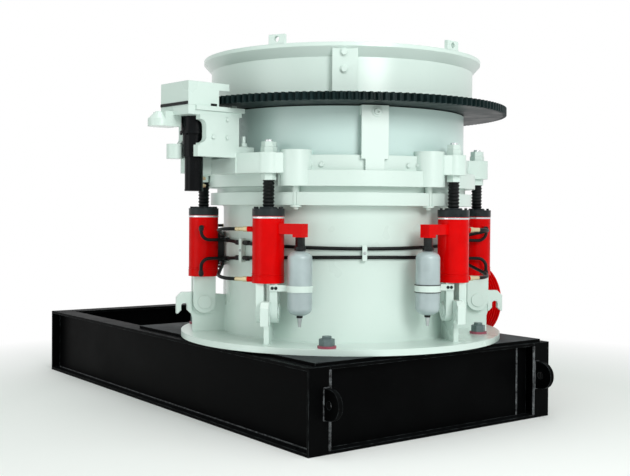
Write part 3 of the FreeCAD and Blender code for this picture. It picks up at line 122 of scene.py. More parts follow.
class Finish:
    """A material in the making; every node comes from the node method."""

    def __init__(self, name):
        self.material = bpy.data.materials.new(name)
        self.material.use_nodes = True
        self.tree = self.material.node_tree
        self.tree.nodes.clear()
        self.place = self.node("ShaderNodeTexCoord", output="Object")

    def node(self, kind, settings=None, inputs=None, output=0):
        made = self.tree.nodes.new(kind)
        for name, setting in (settings or {}).items():
            setattr(made, name, setting)
        for key, item in (inputs or {}).items():
            if isinstance(item, Level):
                self.tree.links.new(item.socket, made.inputs[key])
            else:
                made.inputs[key].default_value = item
        return Level(self, made.outputs[output])

    def noise(self, scale, detail=2, rough=0.5):
        """Noise over the object's own coordinates, about 0.5."""
        return self.node("ShaderNodeTexNoise", None, {"Vector": self.place, "Scale": scale,
                                                      "Detail": detail, "Roughness": rough})

    def spread(self, level, low, high, into_low=0.0, into_high=1.0):
        """The level's range from low to high, carried to a new range and clamped."""
        return self.node("ShaderNodeMapRange", None,
                         {"Value": level, "From Min": low, "From Max": high,
                          "To Min": into_low, "To Max": into_high})

    def mix(self, share, first, second):
        """A colour between two colours."""
        ends = [item if isinstance(item, Level) else (*item, 1) for item in (first, second)]
        return self.node("ShaderNodeMix", {"data_type": "RGBA"},
                         {0: share, 6: ends[0], 7: ends[1]}, output=2)

    def bump(self, height, distance, strength=1.0, normal=None):
        inputs = {"Height": height, "Distance": distance, "Strength": strength}
        if normal:
            inputs["Normal"] = normal
        return self.node("ShaderNodeBump", None, inputs)

    def rounded(self, radius=0.004):
        """Normal that softens the edges of a plate or casting."""
        return self.node("ShaderNodeBevel", {"samples": 4}, {"Radius": radius})

    def lying(self):
        """Share of a surface that faces up, where dust settles."""
        normal = self.node("ShaderNodeNewGeometry", output="Normal")
        height = self.node("ShaderNodeSeparateXYZ", None, {"Vector": normal}, output="Z")
        return self.spread(height, 0.55, 0.95)

    def edges(self, radius, low=0.02, high=0.22):
        """Share of a surface that lies on an edge, where a painted highlight goes: how far the
        softened normal leans from the true one."""
        true = self.node("ShaderNodeNewGeometry", output="Normal")
        same = self.node("ShaderNodeVectorMath", {"operation": "DOT_PRODUCT"},
                         {0: self.rounded(radius), 1: true}, output="Value")
        return self.spread(1 - same, low, high)

    def finish(self, colour, roughness, metallic=0.0, normal=None, **uniform):
        """The surface itself; what varies comes as levels, the rest as plain numbers."""
        inputs = {"Base Color": colour if isinstance(colour, Level) else (*colour, 1),
                  "Roughness": roughness, "Metallic": metallic}
        if normal:
            inputs["Normal"] = normal
        for name, number in uniform.items():
            inputs[name.replace("_", " ")] = number
        surface = self.node("ShaderNodeBsdfPrincipled", None, inputs)
        end = self.tree.nodes.new("ShaderNodeOutputMaterial")
        self.tree.links.new(surface.socket, end.inputs["Surface"])
        return self.material


def dress(nodes, material):
    """Give CAD nodes their material."""
    for name in nodes:
        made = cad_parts[name].data.materials
        made.clear()
        made.append(material)


def enamel(name, deep, pale, rough=0.30, soft=0.004):
    """Satin enamel over castings and plate: clouded tone, faint dust where it lies, orange
    peel and softened edges."""
    finish = Finish(name)
    cloud = finish.noise(1.3, detail=4)
    tone = finish.mix(finish.spread(cloud, 0.35, 0.7), deep, pale)
    speck = finish.noise(38, detail=3)
    dusty = finish.spread(speck, 0.62, 0.8, 0, 0.10) + finish.lying() * 0.05
    tone = finish.mix(dusty, tone, tuple(0.72 * part for part in deep))
    normal = finish.bump(finish.noise(240, detail=1), 0.0004, 0.22, finish.rounded(soft))
    level = finish.spread(cloud, 0.3, 0.7, rough - 0.05, rough + 0.07)
    return finish.finish(tone, level, normal=normal, Coat_Weight=0.3, Coat_Roughness=0.26)


def skid_enamel(name, dust_tone):
    """Black enamel on rolled sections, with grey dust on what lies flat and a painted grey
    highlight along its edges.
    """
    finish = Finish(name)
    cloud = finish.noise(2.4, detail=6, rough=0.6)
    tone = finish.mix(finish.spread(cloud, 0.4, 0.75), (0.0008, 0.0009, 0.0010),
                      (0.0022, 0.0024, 0.0026))
    grime = finish.noise(7, detail=5, rough=0.65)
    dust = finish.lying() * finish.spread(grime, 0.30, 0.72, 0.25, 0.9)
    tone = finish.mix(dust, tone, dust_tone)
    # Painted highlight: a grey tone along the edges, broken up by noise, stands for light caught
    # on the edges.
    edge_highlight = finish.edges(0.006) * finish.spread(finish.noise(16, detail=4), 0.42, 0.62, 0.1, 0.8)
    tone = finish.mix(edge_highlight, tone, (0.10, 0.115, 0.12))
    normal = finish.bump(finish.noise(70, detail=3), 0.0012, 0.35, finish.rounded(0.005))
    rough = finish.spread(cloud, 0.3, 0.7, 0.40, 0.56)
    return finish.finish(tone, rough, normal=normal, Specular_IOR_Level=0.02)


def plain(name, low, high, rough, metallic=0.0, grain=60, depth=0.0004, soft=0.0015, patch=9,
          **uniform):
    """A finish whose tone wanders between two colours, patch by patch, over a fine grain."""
    finish = Finish(name)
    cloud = finish.noise(patch, detail=4)
    tone = finish.mix(finish.spread(cloud, 0.35, 0.7), low, high)
    normal = finish.bump(finish.noise(grain, detail=2), depth, 0.4, finish.rounded(soft))
    level = finish.spread(cloud, 0.3, 0.7, rough - 0.06, rough + 0.08)
    return finish.finish(tone, level, metallic, normal, **uniform)


def make_camera():
    """Camera at the photo's place, built from its yaw, pitch and roll."""
    yaw, pitch, roll = (math.radians(turn) for turn in (CAMERA_YAW, CAMERA_PITCH, CAMERA_ROLL))
    ahead = Vector((-math.sin(yaw) * math.cos(pitch), math.cos(yaw) * math.cos(pitch),
                    math.sin(pitch)))
    level_right = Vector((math.cos(yaw), math.sin(yaw), 0))
    level_up = level_right.cross(ahead)
    right = math.cos(roll) * level_right + math.sin(roll) * level_up
    up = -math.sin(roll) * level_right + math.cos(roll) * level_up
    data = bpy.data.cameras.new("photo_camera")
    data.sensor_fit = "HORIZONTAL"
    data.sensor_width = 36
    data.lens = FOCAL_PIXELS / IMAGE_WIDTH * data.sensor_width
    data.shift_x = (IMAGE_WIDTH / 2 - CENTRE_PIXEL[0]) / IMAGE_WIDTH
    data.shift_y = (CENTRE_PIXEL[1] - IMAGE_HEIGHT / 2) / IMAGE_WIDTH
    camera = bpy.data.objects.new("photo_camera", data)
    turned = Matrix((right, up, -ahead)).transposed().to_4x4()
    camera.matrix_world = Matrix.Translation(CAMERA_PLACE) @ turned
    bpy.context.scene.collection.objects.link(camera)
    bpy.context.scene.camera = camera


def make_stage():
    """Pale floor that keeps the object's shadow and turns evenly white away from it."""
    reach = 60.0
    mesh = bpy.data.meshes.new("floor")
    mesh.from_pydata([(-reach, -reach, 0), (reach, -reach, 0), (reach, reach, 0),
                      (-reach, reach, 0)], [], [(0, 1, 2, 3)])
    floor = bpy.data.objects.new("floor", mesh)
    bpy.context.scene.collection.objects.link(floor)
    finish = Finish("floor_white")
    away = finish.node("ShaderNodeVectorMath", {"operation": "LENGTH"},
                       {0: finish.place}, output="Value")
    path = finish.tree.nodes.new("ShaderNodeLightPath")
    seen = Level(finish, path.outputs["Is Camera Ray"])
    for other in ("Is Glossy Ray", "Is Transmission Ray"):
        seen = finish.node("ShaderNodeMath", {"operation": "MAXIMUM"},
                           {0: seen, 1: Level(finish, path.outputs[other])})
    share = finish.spread(away, 2.4, 4.6) * seen
    matt = finish.node("ShaderNodeBsdfDiffuse", None, {"Color": (0.96, 0.96, 0.96, 1)})
    white = finish.node("ShaderNodeEmission", None, {"Color": (1, 1, 1, 1), "Strength": 1.0})
    both = finish.node("ShaderNodeMixShader", None, {0: share, 1: matt, 2: white})
    end = finish.tree.nodes.new("ShaderNodeOutputMaterial")
    finish.tree.links.new(both.socket, end.inputs["Surface"])
    floor.data.materials.append(finish.material)
    world = bpy.data.worlds.new("studio")
    bpy.context.scene.world = world
    world.use_nodes = True
    tree = world.node_tree
    tree.nodes.clear()
    backdrop = tree.nodes.new("ShaderNodeBackground")
    backdrop.inputs["Color"].default_value = (1, 1, 1, 1)
    backdrop.inputs["Strength"].default_value = 1.0
    light = tree.nodes.new("ShaderNodeBackground")
    light.inputs["Color"].default_value = WORLD_TINT
    light.inputs["Strength"].default_value = WORLD_STRENGTH
    path = tree.nodes.new("ShaderNodeLightPath")
    either = path.outputs["Is Camera Ray"]
    for other in ("Is Glossy Ray", "Is Transmission Ray"):
        larger = tree.nodes.new("ShaderNodeMath")
        larger.operation = "MAXIMUM"
        tree.links.new(either, larger.inputs[0])
        tree.links.new(path.outputs[other], larger.inputs[1])
        either = larger.outputs[0]
    both = tree.nodes.new("ShaderNodeMixShader")
    tree.links.new(either, both.inputs[0])
    tree.links.new(light.outputs[0], both.inputs[1])
    tree.links.new(backdrop.outputs[0], both.inputs[2])
    end = tree.nodes.new("ShaderNodeOutputWorld")
    tree.links.new(both.outputs[0], end.inputs[0])


def add_lamp(name, azimuth, elevation, distance, width, level):
    """Square soft lamp about the crusher; its level is the share of full light it gives a
    surface that faces it."""
    level_reach = distance * math.cos(math.radians(elevation))
    place = Vector((*about_axis(azimuth, level_reach)[:2],
                    LAMP_AIM[2] + distance * math.sin(math.radians(elevation))))
    data = bpy.data.lights.new(name, "AREA")
    data.shape = "SQUARE"
    data.size = width
    data.energy = level * (math.pi * distance) ** 2
    lamp = bpy.data.objects.new(name, data)
    lamp.location = place
    lamp.rotation_euler = (Vector(LAMP_AIM) - place).to_track_quat("-Z", "Y").to_euler()
    bpy.context.scene.collection.objects.link(lamp)


def make_lights():
    add_lamp("key_lamp", -12, 22, 8.5, 2.8, 0.45)
    add_lamp("fill_lamp", -95, 6, 8.0, 4.0, 0.10)
    add_lamp("top_lamp", -30, 76, 8.0, 5.0, 0.32)


def rows_of(grid, joined=False):
    """Points and faces of a closed grid. Each row is a ring joined to the next row; the last row
    is joined to the first, or else the first and last rows are each closed by one face."""
    rows, steps = grid.shape[:2]
    index = np.arange(rows * steps).reshape(rows, steps)
    if joined:
        low, high = index, np.roll(index, -1, axis=0)
    else:
        low, high = index[:-1], index[1:]
    quads = np.stack([low, np.roll(low, -1, axis=1), np.roll(high, -1, axis=1), high], axis=2)
    faces = quads.reshape(-1, 4).tolist()
    if not joined:
        faces += [index[0, ::-1].tolist(), index[-1].tolist()]
    return grid.reshape(-1, 3), faces


def turned(profile, steps=24, joined=False):
    """Rings about Z for rows of (radius, height, hexagon share): a ring's radius is drawn in
    towards a hexagon's flats by its share, which is 0 on a round and 1 on a hexagon."""
    profile = np.array([(*row, 0)[:3] for row in profile], float)
    angle = np.linspace(0, 2 * np.pi, steps, endpoint=False)
    flats = math.cos(math.pi / 6) / np.cos(angle % (math.pi / 3) - math.pi / 6)
    radius = profile[:, :1] * (1 + profile[:, 2:] * (flats - 1))
    height = np.repeat(profile[:, 1:2], steps, axis=1)
    grid = np.stack([radius * np.cos(angle), radius * np.sin(angle), height], axis=2)
    return rows_of(grid, joined)


def hex_bolt(radius, height, washer=0.0, stud=0.0):
    """Washer, chamfered hexagon head and stud end as one turned profile, standing on z = 0."""
    rows = []
    base = 0.0
    if washer:
        base = 0.18 * radius
        rows += [(washer, 0), (washer, 0.7 * base), (0.95 * washer, base)]
    rows += [(0.92 * radius, base, 0.4), (radius, base + 0.08 * height, 1),
             (radius, base + 0.86 * height, 1), (0.86 * radius, base + height, 0)]
    if stud:
        top = base + height
        rows += [(0.56 * radius, top), (0.56 * radius, top + 0.85 * stud),
                 (0.46 * radius, top + stud)]
    return turned(rows)


def socket_screw(radius, height):
    """Round head with a hexagon socket sunk in it."""
    return turned([(0.96 * radius, 0), (radius, 0.1 * height), (radius, 0.85 * height),
                   (0.9 * radius, height), (0.52 * radius, height, 1),
                   (0.50 * radius, 0.45 * height, 1)])


def stand(point, normal=(0, 0, 1), spin=0.0):
    """Place whose Z axis lies along a direction, turned about it by spin degrees."""
    turn = Vector(normal).to_track_quat("Z", "Y").to_matrix().to_4x4()
    return np.array(Matrix.Translation(point) @ turn @ Matrix.Rotation(math.radians(spin), 4, "Z"))


def about_axis(azimuth, across, along=0.0, height=0.0):
    """Point at a radius, a sideways step and a height, drawn at azimuth 0 and turned."""
    turn = math.radians(azimuth)
    return (across * math.cos(turn) - along * math.sin(turn),
            across * math.sin(turn) + along * math.cos(turn), height)


def heading(azimuth):
    return (math.cos(math.radians(azimuth)), math.sin(math.radians(azimuth)), 0)


def stamp(shape, places):
    """A shape repeated at 4x4 places, as joined points and faces."""
    points, faces = shape
    places = np.array(places)
    moved = np.einsum("kij,nj->kni", places[:, :3, :3], points) + places[:, None, :3, 3]
    count = len(points)
    copied = [[corner + start * count for corner in face]
              for start in range(len(places)) for face in faces]
    return moved.reshape(-1, 3), copied


def join(shapes):
    """Several shapes as one."""
    points, faces = [], []
    start = 0
    for more, sides in shapes:
        points.append(more)
        faces += [[corner + start for corner in side] for side in sides]
        start += len(more)
    return np.concatenate(points), faces


def mesh_object(name, shape, material):
    """Points and faces as an object with a material."""
    mesh = bpy.data.meshes.new(name)
    mesh.from_pydata(shape[0].tolist(), [], shape[1])
    mesh.materials.append(material)
    mesh.update()
    made = bpy.data.objects.new(name, mesh)
    bpy.context.scene.collection.objects.link(made)
    return made


def piece(name, shape, material, body):
    """A mesh object of its own that rides on a body."""
    made = mesh_object(name, shape, material)
    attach(made, body)
    return made


def smooth(made, angle=35):
    """Smooth shading with creases where faces meet at more than the angle."""
    made.data.shade_smooth()
    made.data.set_sharp_from_angle(angle=math.radians(angle))


def tube(path, radii, sides=6, flat=(1, 1), joined=False):
    """Round skin about a path: at each point a ring of that point's radius, square to the
    path, widened across and upwards by the two numbers of flat."""
    path = np.array(path, float)
    if joined:
        along = np.roll(path, -1, axis=0) - np.roll(path, 1, axis=0)
    else:
        along = np.gradient(path, axis=0)
    along /= np.linalg.norm(along, axis=1)[:, None]
    guide = np.where(np.abs(along[:, 2:]) > 0.9, [[1.0, 0, 0]], [[0, 0, 1.0]])
    across = np.cross(guide, along)
    across /= np.linalg.norm(across, axis=1)[:, None]
    upward = np.cross(along, across)
    angle = np.linspace(0, 2 * np.pi, sides, endpoint=False)[None, :, None]
    reach = np.broadcast_to(radii, len(path))[:, None, None]
    grid = path[:, None] + reach * (flat[0] * np.cos(angle) * across[:, None]
                                    + flat[1] * np.sin(angle) * upward[:, None])
    return rows_of(grid, joined)


def ripple(length, radius, pitch):
    """Steps along a weld bead and its radius there, which swells once in every pitch."""
    steps = np.linspace(0, length, max(4, int(3 * length / pitch)))
    return steps, radius * (0.80 + 0.20 * np.abs(np.sin(np.pi * steps / pitch)))


def straight_bead(start, end, radius=0.006, pitch=0.012):
    """Weld bead along a straight corner."""
    start, end = np.array(start, float), np.array(end, float)
    length = float(np.linalg.norm(end - start))
    steps, radii = ripple(length, radius, pitch)
    return tube(start + (end - start) * (steps / length)[:, None], radii, sides=5)


def round_bead(circle, height, radius=0.008, pitch=0.016, middle=(0, 0)):
    """Weld bead round an upright cylinder of a circle's radius."""
    steps, radii = ripple(2 * np.pi * circle, radius, pitch)
    angle = (steps / circle)[:-1]
    path = np.stack([middle[0] + circle * np.cos(angle), middle[1] + circle * np.sin(angle),
                     np.full(len(angle), height)], axis=1)
    return tube(path, radii[:-1], sides=5, joined=True)


def hoop(inner, outer, low, high, edge=0.0008):
    """Closed band about Z with small chamfers on its four edges."""
    return turned([(inner + edge, low), (outer - edge, low), (outer, low + edge),
                   (outer, high - edge), (outer - edge, high), (inner + edge, high),
                   (inner, high - edge), (inner, low + edge)], steps=48, joined=True)


def cylinder_middle(azimuth):
    return about_axis(azimuth, CYLINDER_CIRCLE)


def dress_cylinders():
    """Bright ring under each head, weld lines on each barrel, head screws and rod wipers."""
    middles = [cylinder_middle(azimuth) for azimuth, _ in CYLINDERS]
    places = [stand(middle) for middle in middles]
    ring = hoop(0.0975, 0.1004, 1.3305, 1.3415)
    smooth(piece("cylinder_head_rings", stamp(ring, places), bright_steel, "frame"))
    seams = [round_bead(0.0985, height, 0.0030, 0.008, middle)
             for middle in middles for height in (0.978, 0.990)]
    smooth(piece("barrel_weld_seams", join(seams), signal_red, "frame"))
    screw = socket_screw(0.0085, 0.011)
    screws = [stand((x + dx, y + dy, HEAD_TOP)) for x, y, _ in middles
              for dx, dy, _ in (about_axis(22.5 + 45 * step, 0.083) for step in range(8))]
    smooth(piece("cylinder_head_screws", stamp(screw, screws), head_black, "frame"))
    wiper = turned([(0.040, HEAD_TOP), (0.056, HEAD_TOP), (0.056, HEAD_TOP + 0.006),
                    (0.051, HEAD_TOP + 0.011), (0.040, HEAD_TOP + 0.011)], steps=32, joined=True)
    smooth(piece("rod_wipers", stamp(wiper, places), head_black, "frame"))


def make_boots():
    """Folded rubber boots over the rods. Radius over height is 0.034 + 0.003 cos(2 pi folds t)
    with t from 0 at the head to 1 at the nut."""
    share = np.linspace(0, 1, 6 * BOOT_FOLDS + 1)
    height = HEAD_TOP + (BOOT_TOP - HEAD_TOP) * share
    skin = np.stack([0.034 + 0.003 * np.cos(2 * np.pi * BOOT_FOLDS * share), height], axis=1)
    bore = np.stack([np.full(len(share), 0.0262), height], axis=1)[::-1]
    boot = turned(np.concatenate([skin, bore]), joined=True)
    places = [stand(cylinder_middle(azimuth)) for azimuth, _ in CYLINDERS]
    boots = mesh_object("rod_bellows", stamp(boot, places), rubber)
    smooth(boots)
    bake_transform(boots)
    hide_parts("rod_boots")


def dress_accumulators():
    """Strap bolts beside each bottle clamp, and rubber under the longer arms' clamps."""
    bolt = hex_bolt(0.0072, 0.007, washer=0.0100, stud=0.006)
    places = []
    liners = []
    for (azimuth, direction), reach in zip(ARMED_CYLINDERS, BOTTLE_REACHES):
        x, y, _ = cylinder_middle(azimuth)
        side = 1 if reach > 0 else -1
        for sideways in (0.036, 0.058):
            dx, dy, _ = about_axis(direction, 0.086, side * sideways)
            places.append(stand((x + dx, y + dy, 0.9085), heading(direction)))
        if reach < 0:
            dx, dy, _ = about_axis(azimuth, 0, reach)
            liners.append(stand((x + dx, y + dy, 0)))
    smooth(piece("clamp_bolts", stamp(bolt, places), head_black, "frame"))
    liner = join([hoop(0.0752, 0.0812, low, low + 0.0045) for low in (0.8845, 0.9285)])
    smooth(piece("clamp_liners", stamp(liner, liners), rubber, "frame"))


def line_level(level, offset):
    """Height of a line round the shell at an angle from the middle of its front."""
    tilt = math.sin(math.radians(LINE_TILT))
    rise = LINE_RADIUS * tilt * (1 - math.cos(math.radians(offset)))
    return level + rise if level > LINE_MIDDLE else level - rise


def dress_lines():
    """Screwed couplings on the lines beside the side clips, and screws in clips and
    manifolds."""
    sleeve = turned([(0.0116, -0.026), (0.0145, -0.024), (0.0145, -0.004), (0.0180, -0.002, 1),
                     (0.0180, 0.014, 1), (0.0150, 0.016), (0.0150, 0.026), (0.0116, 0.028)],
                    steps=24)
    places = []
    screws = []
    for half in (0, 180):
        for offset in (-60, 60):
            for level in LINE_HEIGHTS:
                height = line_level(level, offset)
                for step in (-3.2, 3.2):
                    azimuth = MIRROR_AZIMUTH + half + offset + step
                    places.append(stand(about_axis(azimuth, LINE_RADIUS, 0, height),
                                        heading(azimuth + math.copysign(90, step))))
        for offset in (-60, 0, 60):
            azimuth = MIRROR_AZIMUTH + half + offset
            screws.append(stand(about_axis(azimuth, 0.847, 0, LINE_MIDDLE),
                                heading(azimuth)))
        azimuth = MIRROR_AZIMUTH + half + 90
        screws += [stand(about_axis(azimuth, 0.854, side, height), heading(azimuth))
                   for side in (-0.018, 0.018) for height in (1.022, 1.219)]
    smooth(piece("line_couplings", stamp(sleeve, places), fitting_black, "frame"))
    smooth(piece("clip_screws", stamp(hex_bolt(0.0075, 0.006, washer=0.010), screws),
                 zinc_steel, "frame"))


def weld_frame():
    """Beads where the shell meets its flanges and where each rib meets shell and flange."""
    beads = [round_bead(SHELL_RADIUS, FLANGE_TOP), round_bead(SHELL_RADIUS, TOP_FLANGE_FOOT)]
    for azimuth, direction in CYLINDERS:
        middle = np.array(cylinder_middle(azimuth)[:2])
        ahead = np.array(heading(direction)[:2])
        beside = np.array(heading(direction + 90)[:2])
        for side in (-0.016, 0.016):
            line = middle + side * beside
            reach = line @ ahead
            start = -reach + math.sqrt(reach ** 2 - line @ line + SHELL_RADIUS ** 2)
            inner = (*(line + start * ahead), FLANGE_TOP)
            outer = (*(line + 0.074 * ahead), FLANGE_TOP)
            beads.append(straight_bead(inner, outer))
            beads.append(straight_bead(inner, (*inner[:2], RIB_TOP)))
    smooth(piece("frame_weld_beads", join(beads), body_paint, "frame"), 60)


def weld_skid():
    """Beads on the skid: end plates, web edges of the long beams, pad eyes and a web joint."""
    low, high = 0.021, 0.482
    beads = []
    for side in (-1, 1):
        for across, radius in ((1.0085, 0.009), (-2.7040, 0.007)):
            beads.append(straight_bead((across, side * 0.861, low), (across, side * 0.861, high),
                                       radius, 0.016))
        for height in (low, high):
            beads.append(straight_bead((-2.697, side * 0.945, height),
                                       (0.994, side * 0.945, height), 0.006, 0.016))
        for step in (-0.0165, 0.0165):
            eye = side * 0.890 + step
            beads.append(straight_bead((1.0105, eye, 0.196), (1.0105, eye, 0.384), 0.006, 0.013))
        for height in (0.199, 0.381):
            beads.append(straight_bead((1.0105, side * 0.890 - 0.018, height),
                                       (1.0105, side * 0.890 + 0.018, height), 0.006, 0.013))
    beads.append(straight_bead((0.943, 0.765, low), (0.943, 0.765, high), 0.007, 0.015))
    smooth(piece("skid_weld_beads", join(beads), weld_black_painted_glints, "frame"), 60)


def slab(outline, low, high, edge=0.004):
    """Plate with chamfered upper and lower edges over a plan outline that runs
    counter-clockwise."""
    outline = np.array(outline, float)
    middle = outline.mean(axis=0)
    drawn = outline + (middle - outline) * edge / np.linalg.norm(middle - outline, axis=1)[:, None]
    grid = np.array([[(*point, height) for point in ring] for ring, height in
                     ((drawn, low), (outline, low + edge), (outline, high - edge),
                      (drawn, high))])
    return rows_of(grid)


def cast_lug_webs():
    """Cast webs that run from each lug over an armed cylinder into its guide boss, and on the
    drive's side from the lug to the platform. They end 3 degrees short of the boss's middle,
    which leaves 22 mm to the guide pin."""
    low, high = 1.6075, 1.7335
    shapes = []
    for half in (0, 180):
        for side in (-1, 1):
            lug = MIRROR_AZIMUTH + half + side * ARMED_STEP
            flank = MIRROR_AZIMUTH + half + side * (GUIDE_STEP + 3.0)
            outline = [about_axis(flank, 0.862)[:2], about_axis(flank, 0.966)[:2],
                       about_axis(lug, 1.028, 0.030 * -side)[:2], about_axis(lug, 0.862)[:2]]
            shapes.append(slab(outline[::side], low, high))
    lug = MIRROR_AZIMUTH - ARMED_STEP
    outline = [about_axis(DRIVE_AZIMUTH, 0.862, 0.140)[:2],
               about_axis(DRIVE_AZIMUTH, 1.020, 0.148)[:2],
               about_axis(lug, 1.032, -0.020)[:2], about_axis(lug, 0.862)[:2]]
    shapes.append(slab(outline, low, high))
    smooth(piece("lug_webs", join(shapes), body_paint, "adjustment_ring"))


def dress_ring():
    """Bolts of the stop plate and of the adjustment ring's ledge."""
    washer = join([turned([(0.033, 0), (0.033, 0.004), (0.031, 0.006)], steps=32),
                   stamp(socket_screw(0.019, 0.016), [stand((0, 0, 0.005))])])
    smooth(piece("stop_plate_bolt", stamp(washer, [
        stand(about_axis(-25, 0.9061, 0.010, 1.985), heading(-25))]), body_paint,
        "adjustment_ring"))
    places = []
    for half in (0, 180):
        for azimuth in (-50.6, -45.9, -10.1, -5.4):
            places.append(stand(about_axis(azimuth + half, 0.8800, 0, 1.6615),
                                heading(azimuth + half), 15))
    smooth(piece("ledge_bolts", stamp(hex_bolt(0.015, 0.010, washer=0.019), places), body_paint,
                 "adjustment_ring"))


def dress_drive():
    """Studs and bolts of the bracket, black strips under the guard as painted shadow, and the
    motor's flange bolts and ports.
    """
    def at(across, along, height):
        return about_axis(DRIVE_AZIMUTH, across, along, height)

    inner = heading(DRIVE_AZIMUTH + 180)
    near, far = heading(DRIVE_AZIMUTH + 90), heading(DRIVE_AZIMUTH - 90)
    shapes = [stamp(hex_bolt(0.023, 0.020, washer=0.030, stud=0.044),
                    [stand(at(0.948, side, ARM_TOP)) for side in (-0.1275, 0.1275)]),
              stamp(hex_bolt(0.022, 0.012, washer=0.027),
                    [stand(at(1.022, side, TABLE_TOP)) for side in (-0.12, 0.12)]),
              stamp(hex_bolt(0.013, 0.010, washer=0.017),
                    [stand(at(across, side, height), normal)
                     for side, normal in ((0.150, near), (-0.150, far))
                     for across, height in ((1.092, 1.932), (1.196, 1.822), (1.092, 1.822))])]
    smooth(piece("bracket_bolts", join(shapes), body_paint, "adjustment_ring"))
    # Painted shadow: black strips along the foot of the guard stand for the shadow gap between
    # guard and table.
    shadow_strips = [tube([at(1.3785, along, 2.018) for along in np.linspace(-0.148, 0.148, 5)], 1.0,
                   10, (0.003, 0.010)),
              tube([at(across, 0.1515, 2.016) for across in np.linspace(1.170, 1.214, 4)], 1.0,
                   10, (0.002, 0.008))]
    smooth(piece("guard_shadow_strips", join(shadow_strips), rubber, "adjustment_ring"))
    centre = np.array(at(GEAR_CENTRES, 0, 0))
    flange = []
    for step in range(8):
        dx, dy, _ = about_axis(45 * step + 22.5, 0.079)
        flange.append(stand((centre[0] + dx, centre[1] + dy, 1.844), (0, 0, -1)))
    smooth(piece("motor_flange_bolts", stamp(hex_bolt(0.0065, 0.006), flange), motor_black,
                 "adjustment_ring"))
    port = turned([(0.016, -0.004), (0.016, 0.006), (0.013, 0.008, 1), (0.013, 0.020, 1),
                   (0.009, 0.022), (0.009, 0.030)])
    ports = [stand(at(GEAR_CENTRES - 0.054, 0.0, height), inner) for height in (1.530, 1.575)]
    smooth(piece("motor_ports", stamp(port, ports), brass, "adjustment_ring"))
    band = hoop(0.0555, 0.0575, 1.497, 1.507)
    smooth(piece("motor_end_band", stamp(band, [stand(centre)]), motor_black,
                 "adjustment_ring"))


def dress_hopper():
    """Bolts of the hopper bar, bolts that hold the ring gear, and seams of the hopper."""
    bar = [stand(about_axis(-37, 0.940, -0.006, height), heading(-37), 10)
           for height in (2.335, 2.233)]
    smooth(piece("hopper_bar_bolts", stamp(hex_bolt(0.021, 0.014, washer=0.027), bar),
                 body_paint, "bowl"))
    gear = [stand(about_axis(15 * step + 7.5, 0.945, 0, GEAR_TOP), spin=15 * step)
            for step in range(24)]
    smooth(piece("ring_gear_bolts", stamp(hex_bolt(0.020, 0.015, washer=0.025), gear),
                 gear_steel, "bowl"))
    seams = [round_bead(0.9005, GEAR_TOP, 0.006, 0.014), round_bead(0.883, 2.2905, 0.005, 0.013)]
    smooth(piece("hopper_weld_seams", join(seams), body_paint, "bowl"), 60)


def dress_sheave():
    """Taper bush in the sheave's hub, with its screws."""
    collar = turned([(0.0515, 0), (0.080, 0), (0.080, 0.006), (0.077, 0.009), (0.0515, 0.009)],
                    steps=40, joined=True)
    bush = [stand((0, SHEAVE_FACE, SHEAVE_HEIGHT), (0, 1, 0))]
    smooth(piece("sheave_bush", stamp(collar, bush), zinc_steel, "countershaft"))
    screws = []
    for step in range(4):
        turn = math.radians(90 * step + 45)
        screws.append(stand((0.066 * math.cos(turn), SHEAVE_FACE + 0.008,
                             SHEAVE_HEIGHT + 0.066 * math.sin(turn)), (0, 1, 0)))
    smooth(piece("bush_screws", stamp(socket_screw(0.008, 0.007), screws), head_black,
                 "countershaft"))


WORLD_TINT = (0.89, 1.0, 0.93, 1)
WORLD_STRENGTH = 0.50
LAMP_AIM = (0.0, 0.0, 1.2)

make_camera()
make_stage()
make_lights()

body_paint = enamel("machine_enamel", (0.63, 0.745, 0.695), (0.68, 0.79, 0.745))
# Painted shade: a darker, bluer copy of the machine enamel for the bowl and dust shell, which sit
# in shade below the gear.
bowl_shaded_paint = enamel("bowl_shaded_enamel", (0.54, 0.695, 0.665), (0.59, 0.745, 0.715))
skid_black = skid_enamel("skid_black", (0.006, 0.007, 0.0075))
deck_black = skid_enamel("deck_black", (0.060, 0.070, 0.075))
# Black weld beads; the paler grey patches are painted highlights that stand for glints on the
# ripples.
weld_black_painted_glints = plain("weld_black_painted_glints", (0.006, 0.006, 0.007), (0.170, 0.180, 0.190), 0.34, grain=120,
                   patch=42, Specular_IOR_Level=0.2)
signal_red = plain("signal_red", (0.62, 0.0006, 0.0008), (0.70, 0.0010, 0.0012), 0.30,
                   grain=160, Specular_IOR_Level=0.02, Coat_Weight=0.10, Coat_Roughness=0.10)
gear_steel = plain("oiled_gear", (0.004, 0.011, 0.011), (0.011, 0.023, 0.024), 0.40,
                   Specular_IOR_Level=0.07)
head_black = plain("head_black", (0.010, 0.014, 0.015), (0.022, 0.029, 0.031), 0.30,
                   Specular_IOR_Level=0.15)
motor_black = plain("motor_black", (0.001, 0.0015, 0.002), (0.004, 0.005, 0.006), 0.22,
                    Specular_IOR_Level=0.04, Coat_Weight=0.12, Coat_Roughness=0.10)
fitting_black = plain("fitting_black", (0.004, 0.005, 0.005), (0.014, 0.016, 0.016), 0.30,
                      Specular_IOR_Level=0.2)
zinc_steel = plain("zinc_steel", (0.34, 0.38, 0.38), (0.50, 0.54, 0.54), 0.38, 0.6)
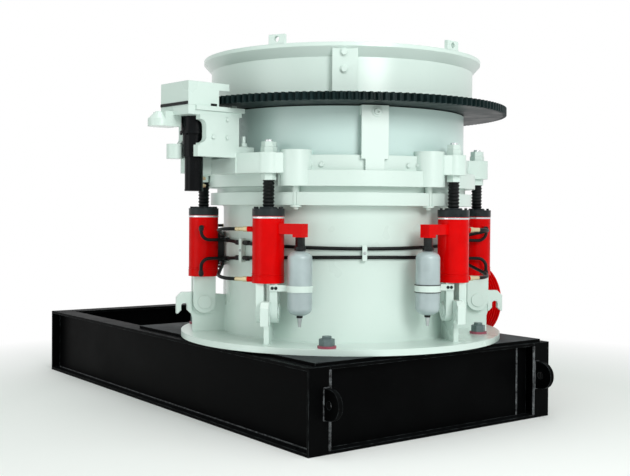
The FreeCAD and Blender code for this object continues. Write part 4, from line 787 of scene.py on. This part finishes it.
nut_grey = plain("nut_grey", (0.09, 0.13, 0.13), (0.16, 0.22, 0.22), 0.42, 0.3)
bright_steel = plain("bright_steel", (0.60, 0.63, 0.64), (0.74, 0.76, 0.77), 0.24, 0.8)
brass = plain("pale_brass", (0.56, 0.47, 0.28), (0.70, 0.60, 0.38), 0.30, 0.7)
wear_steel = plain("wear_steel", (0.16, 0.16, 0.16), (0.25, 0.25, 0.25), 0.55, 0.6, grain=30,
                   depth=0.0012)
washer_red = plain("washer_red", (0.26, 0.05, 0.08), (0.38, 0.09, 0.13), 0.5)
rubber = plain("hose_rubber", (0.002, 0.003, 0.003), (0.008, 0.010, 0.010), 0.40, grain=300,
               Specular_IOR_Level=0.16)
bottle_grey = plain("bottle_grey", (0.36, 0.43, 0.44), (0.42, 0.50, 0.51), 0.34, 0.1)

NODE_FINISHES = {
    skid_black: ["skid_long_beam_near", "skid_long_beam_far", "skid_left_end_beam",
                 "skid_cross_beam", "skid_right_end_beam", "skid_lifting_lugs"],
    deck_black: ["deck_plate"],
    signal_red: ["cylinder_barrels", "accumulator_arms", "drive_sheave"],
    bowl_shaded_paint: ["bowl", "dust_shell"],
    gear_steel: ["ring_gear", "pinion"],
    head_black: ["cylinder_heads"],
    motor_black: ["drive_motor"],
    fitting_black: ["accumulator_fittings", "hose_fittings"],
    zinc_steel: ["accumulator_valves"],
    nut_grey: ["foundation_bolts"],
    bright_steel: ["cylinder_rods", "countershaft"],
    brass: ["hose_couplings"],
    wear_steel: ["mantle", "bowl_liner", "feed_plate", "eccentric_housing"],
    washer_red: ["foundation_washers"],
    rubber: ["rod_boots", "hose_lines", "hose_loops"],
    bottle_grey: ["accumulator_bottles"],
}
for material, nodes in NODE_FINISHES.items():
    dress(nodes, material)
named = {node for nodes in NODE_FINISHES.values() for node in nodes}
dress([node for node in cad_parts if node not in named], body_paint)

dress_cylinders()
make_boots()
dress_accumulators()
dress_lines()
weld_frame()
weld_skid()
cast_lug_webs()
dress_ring()
dress_drive()
dress_hopper()
dress_sheave()

bpy.context.scene.view_settings.view_transform = "Standard"
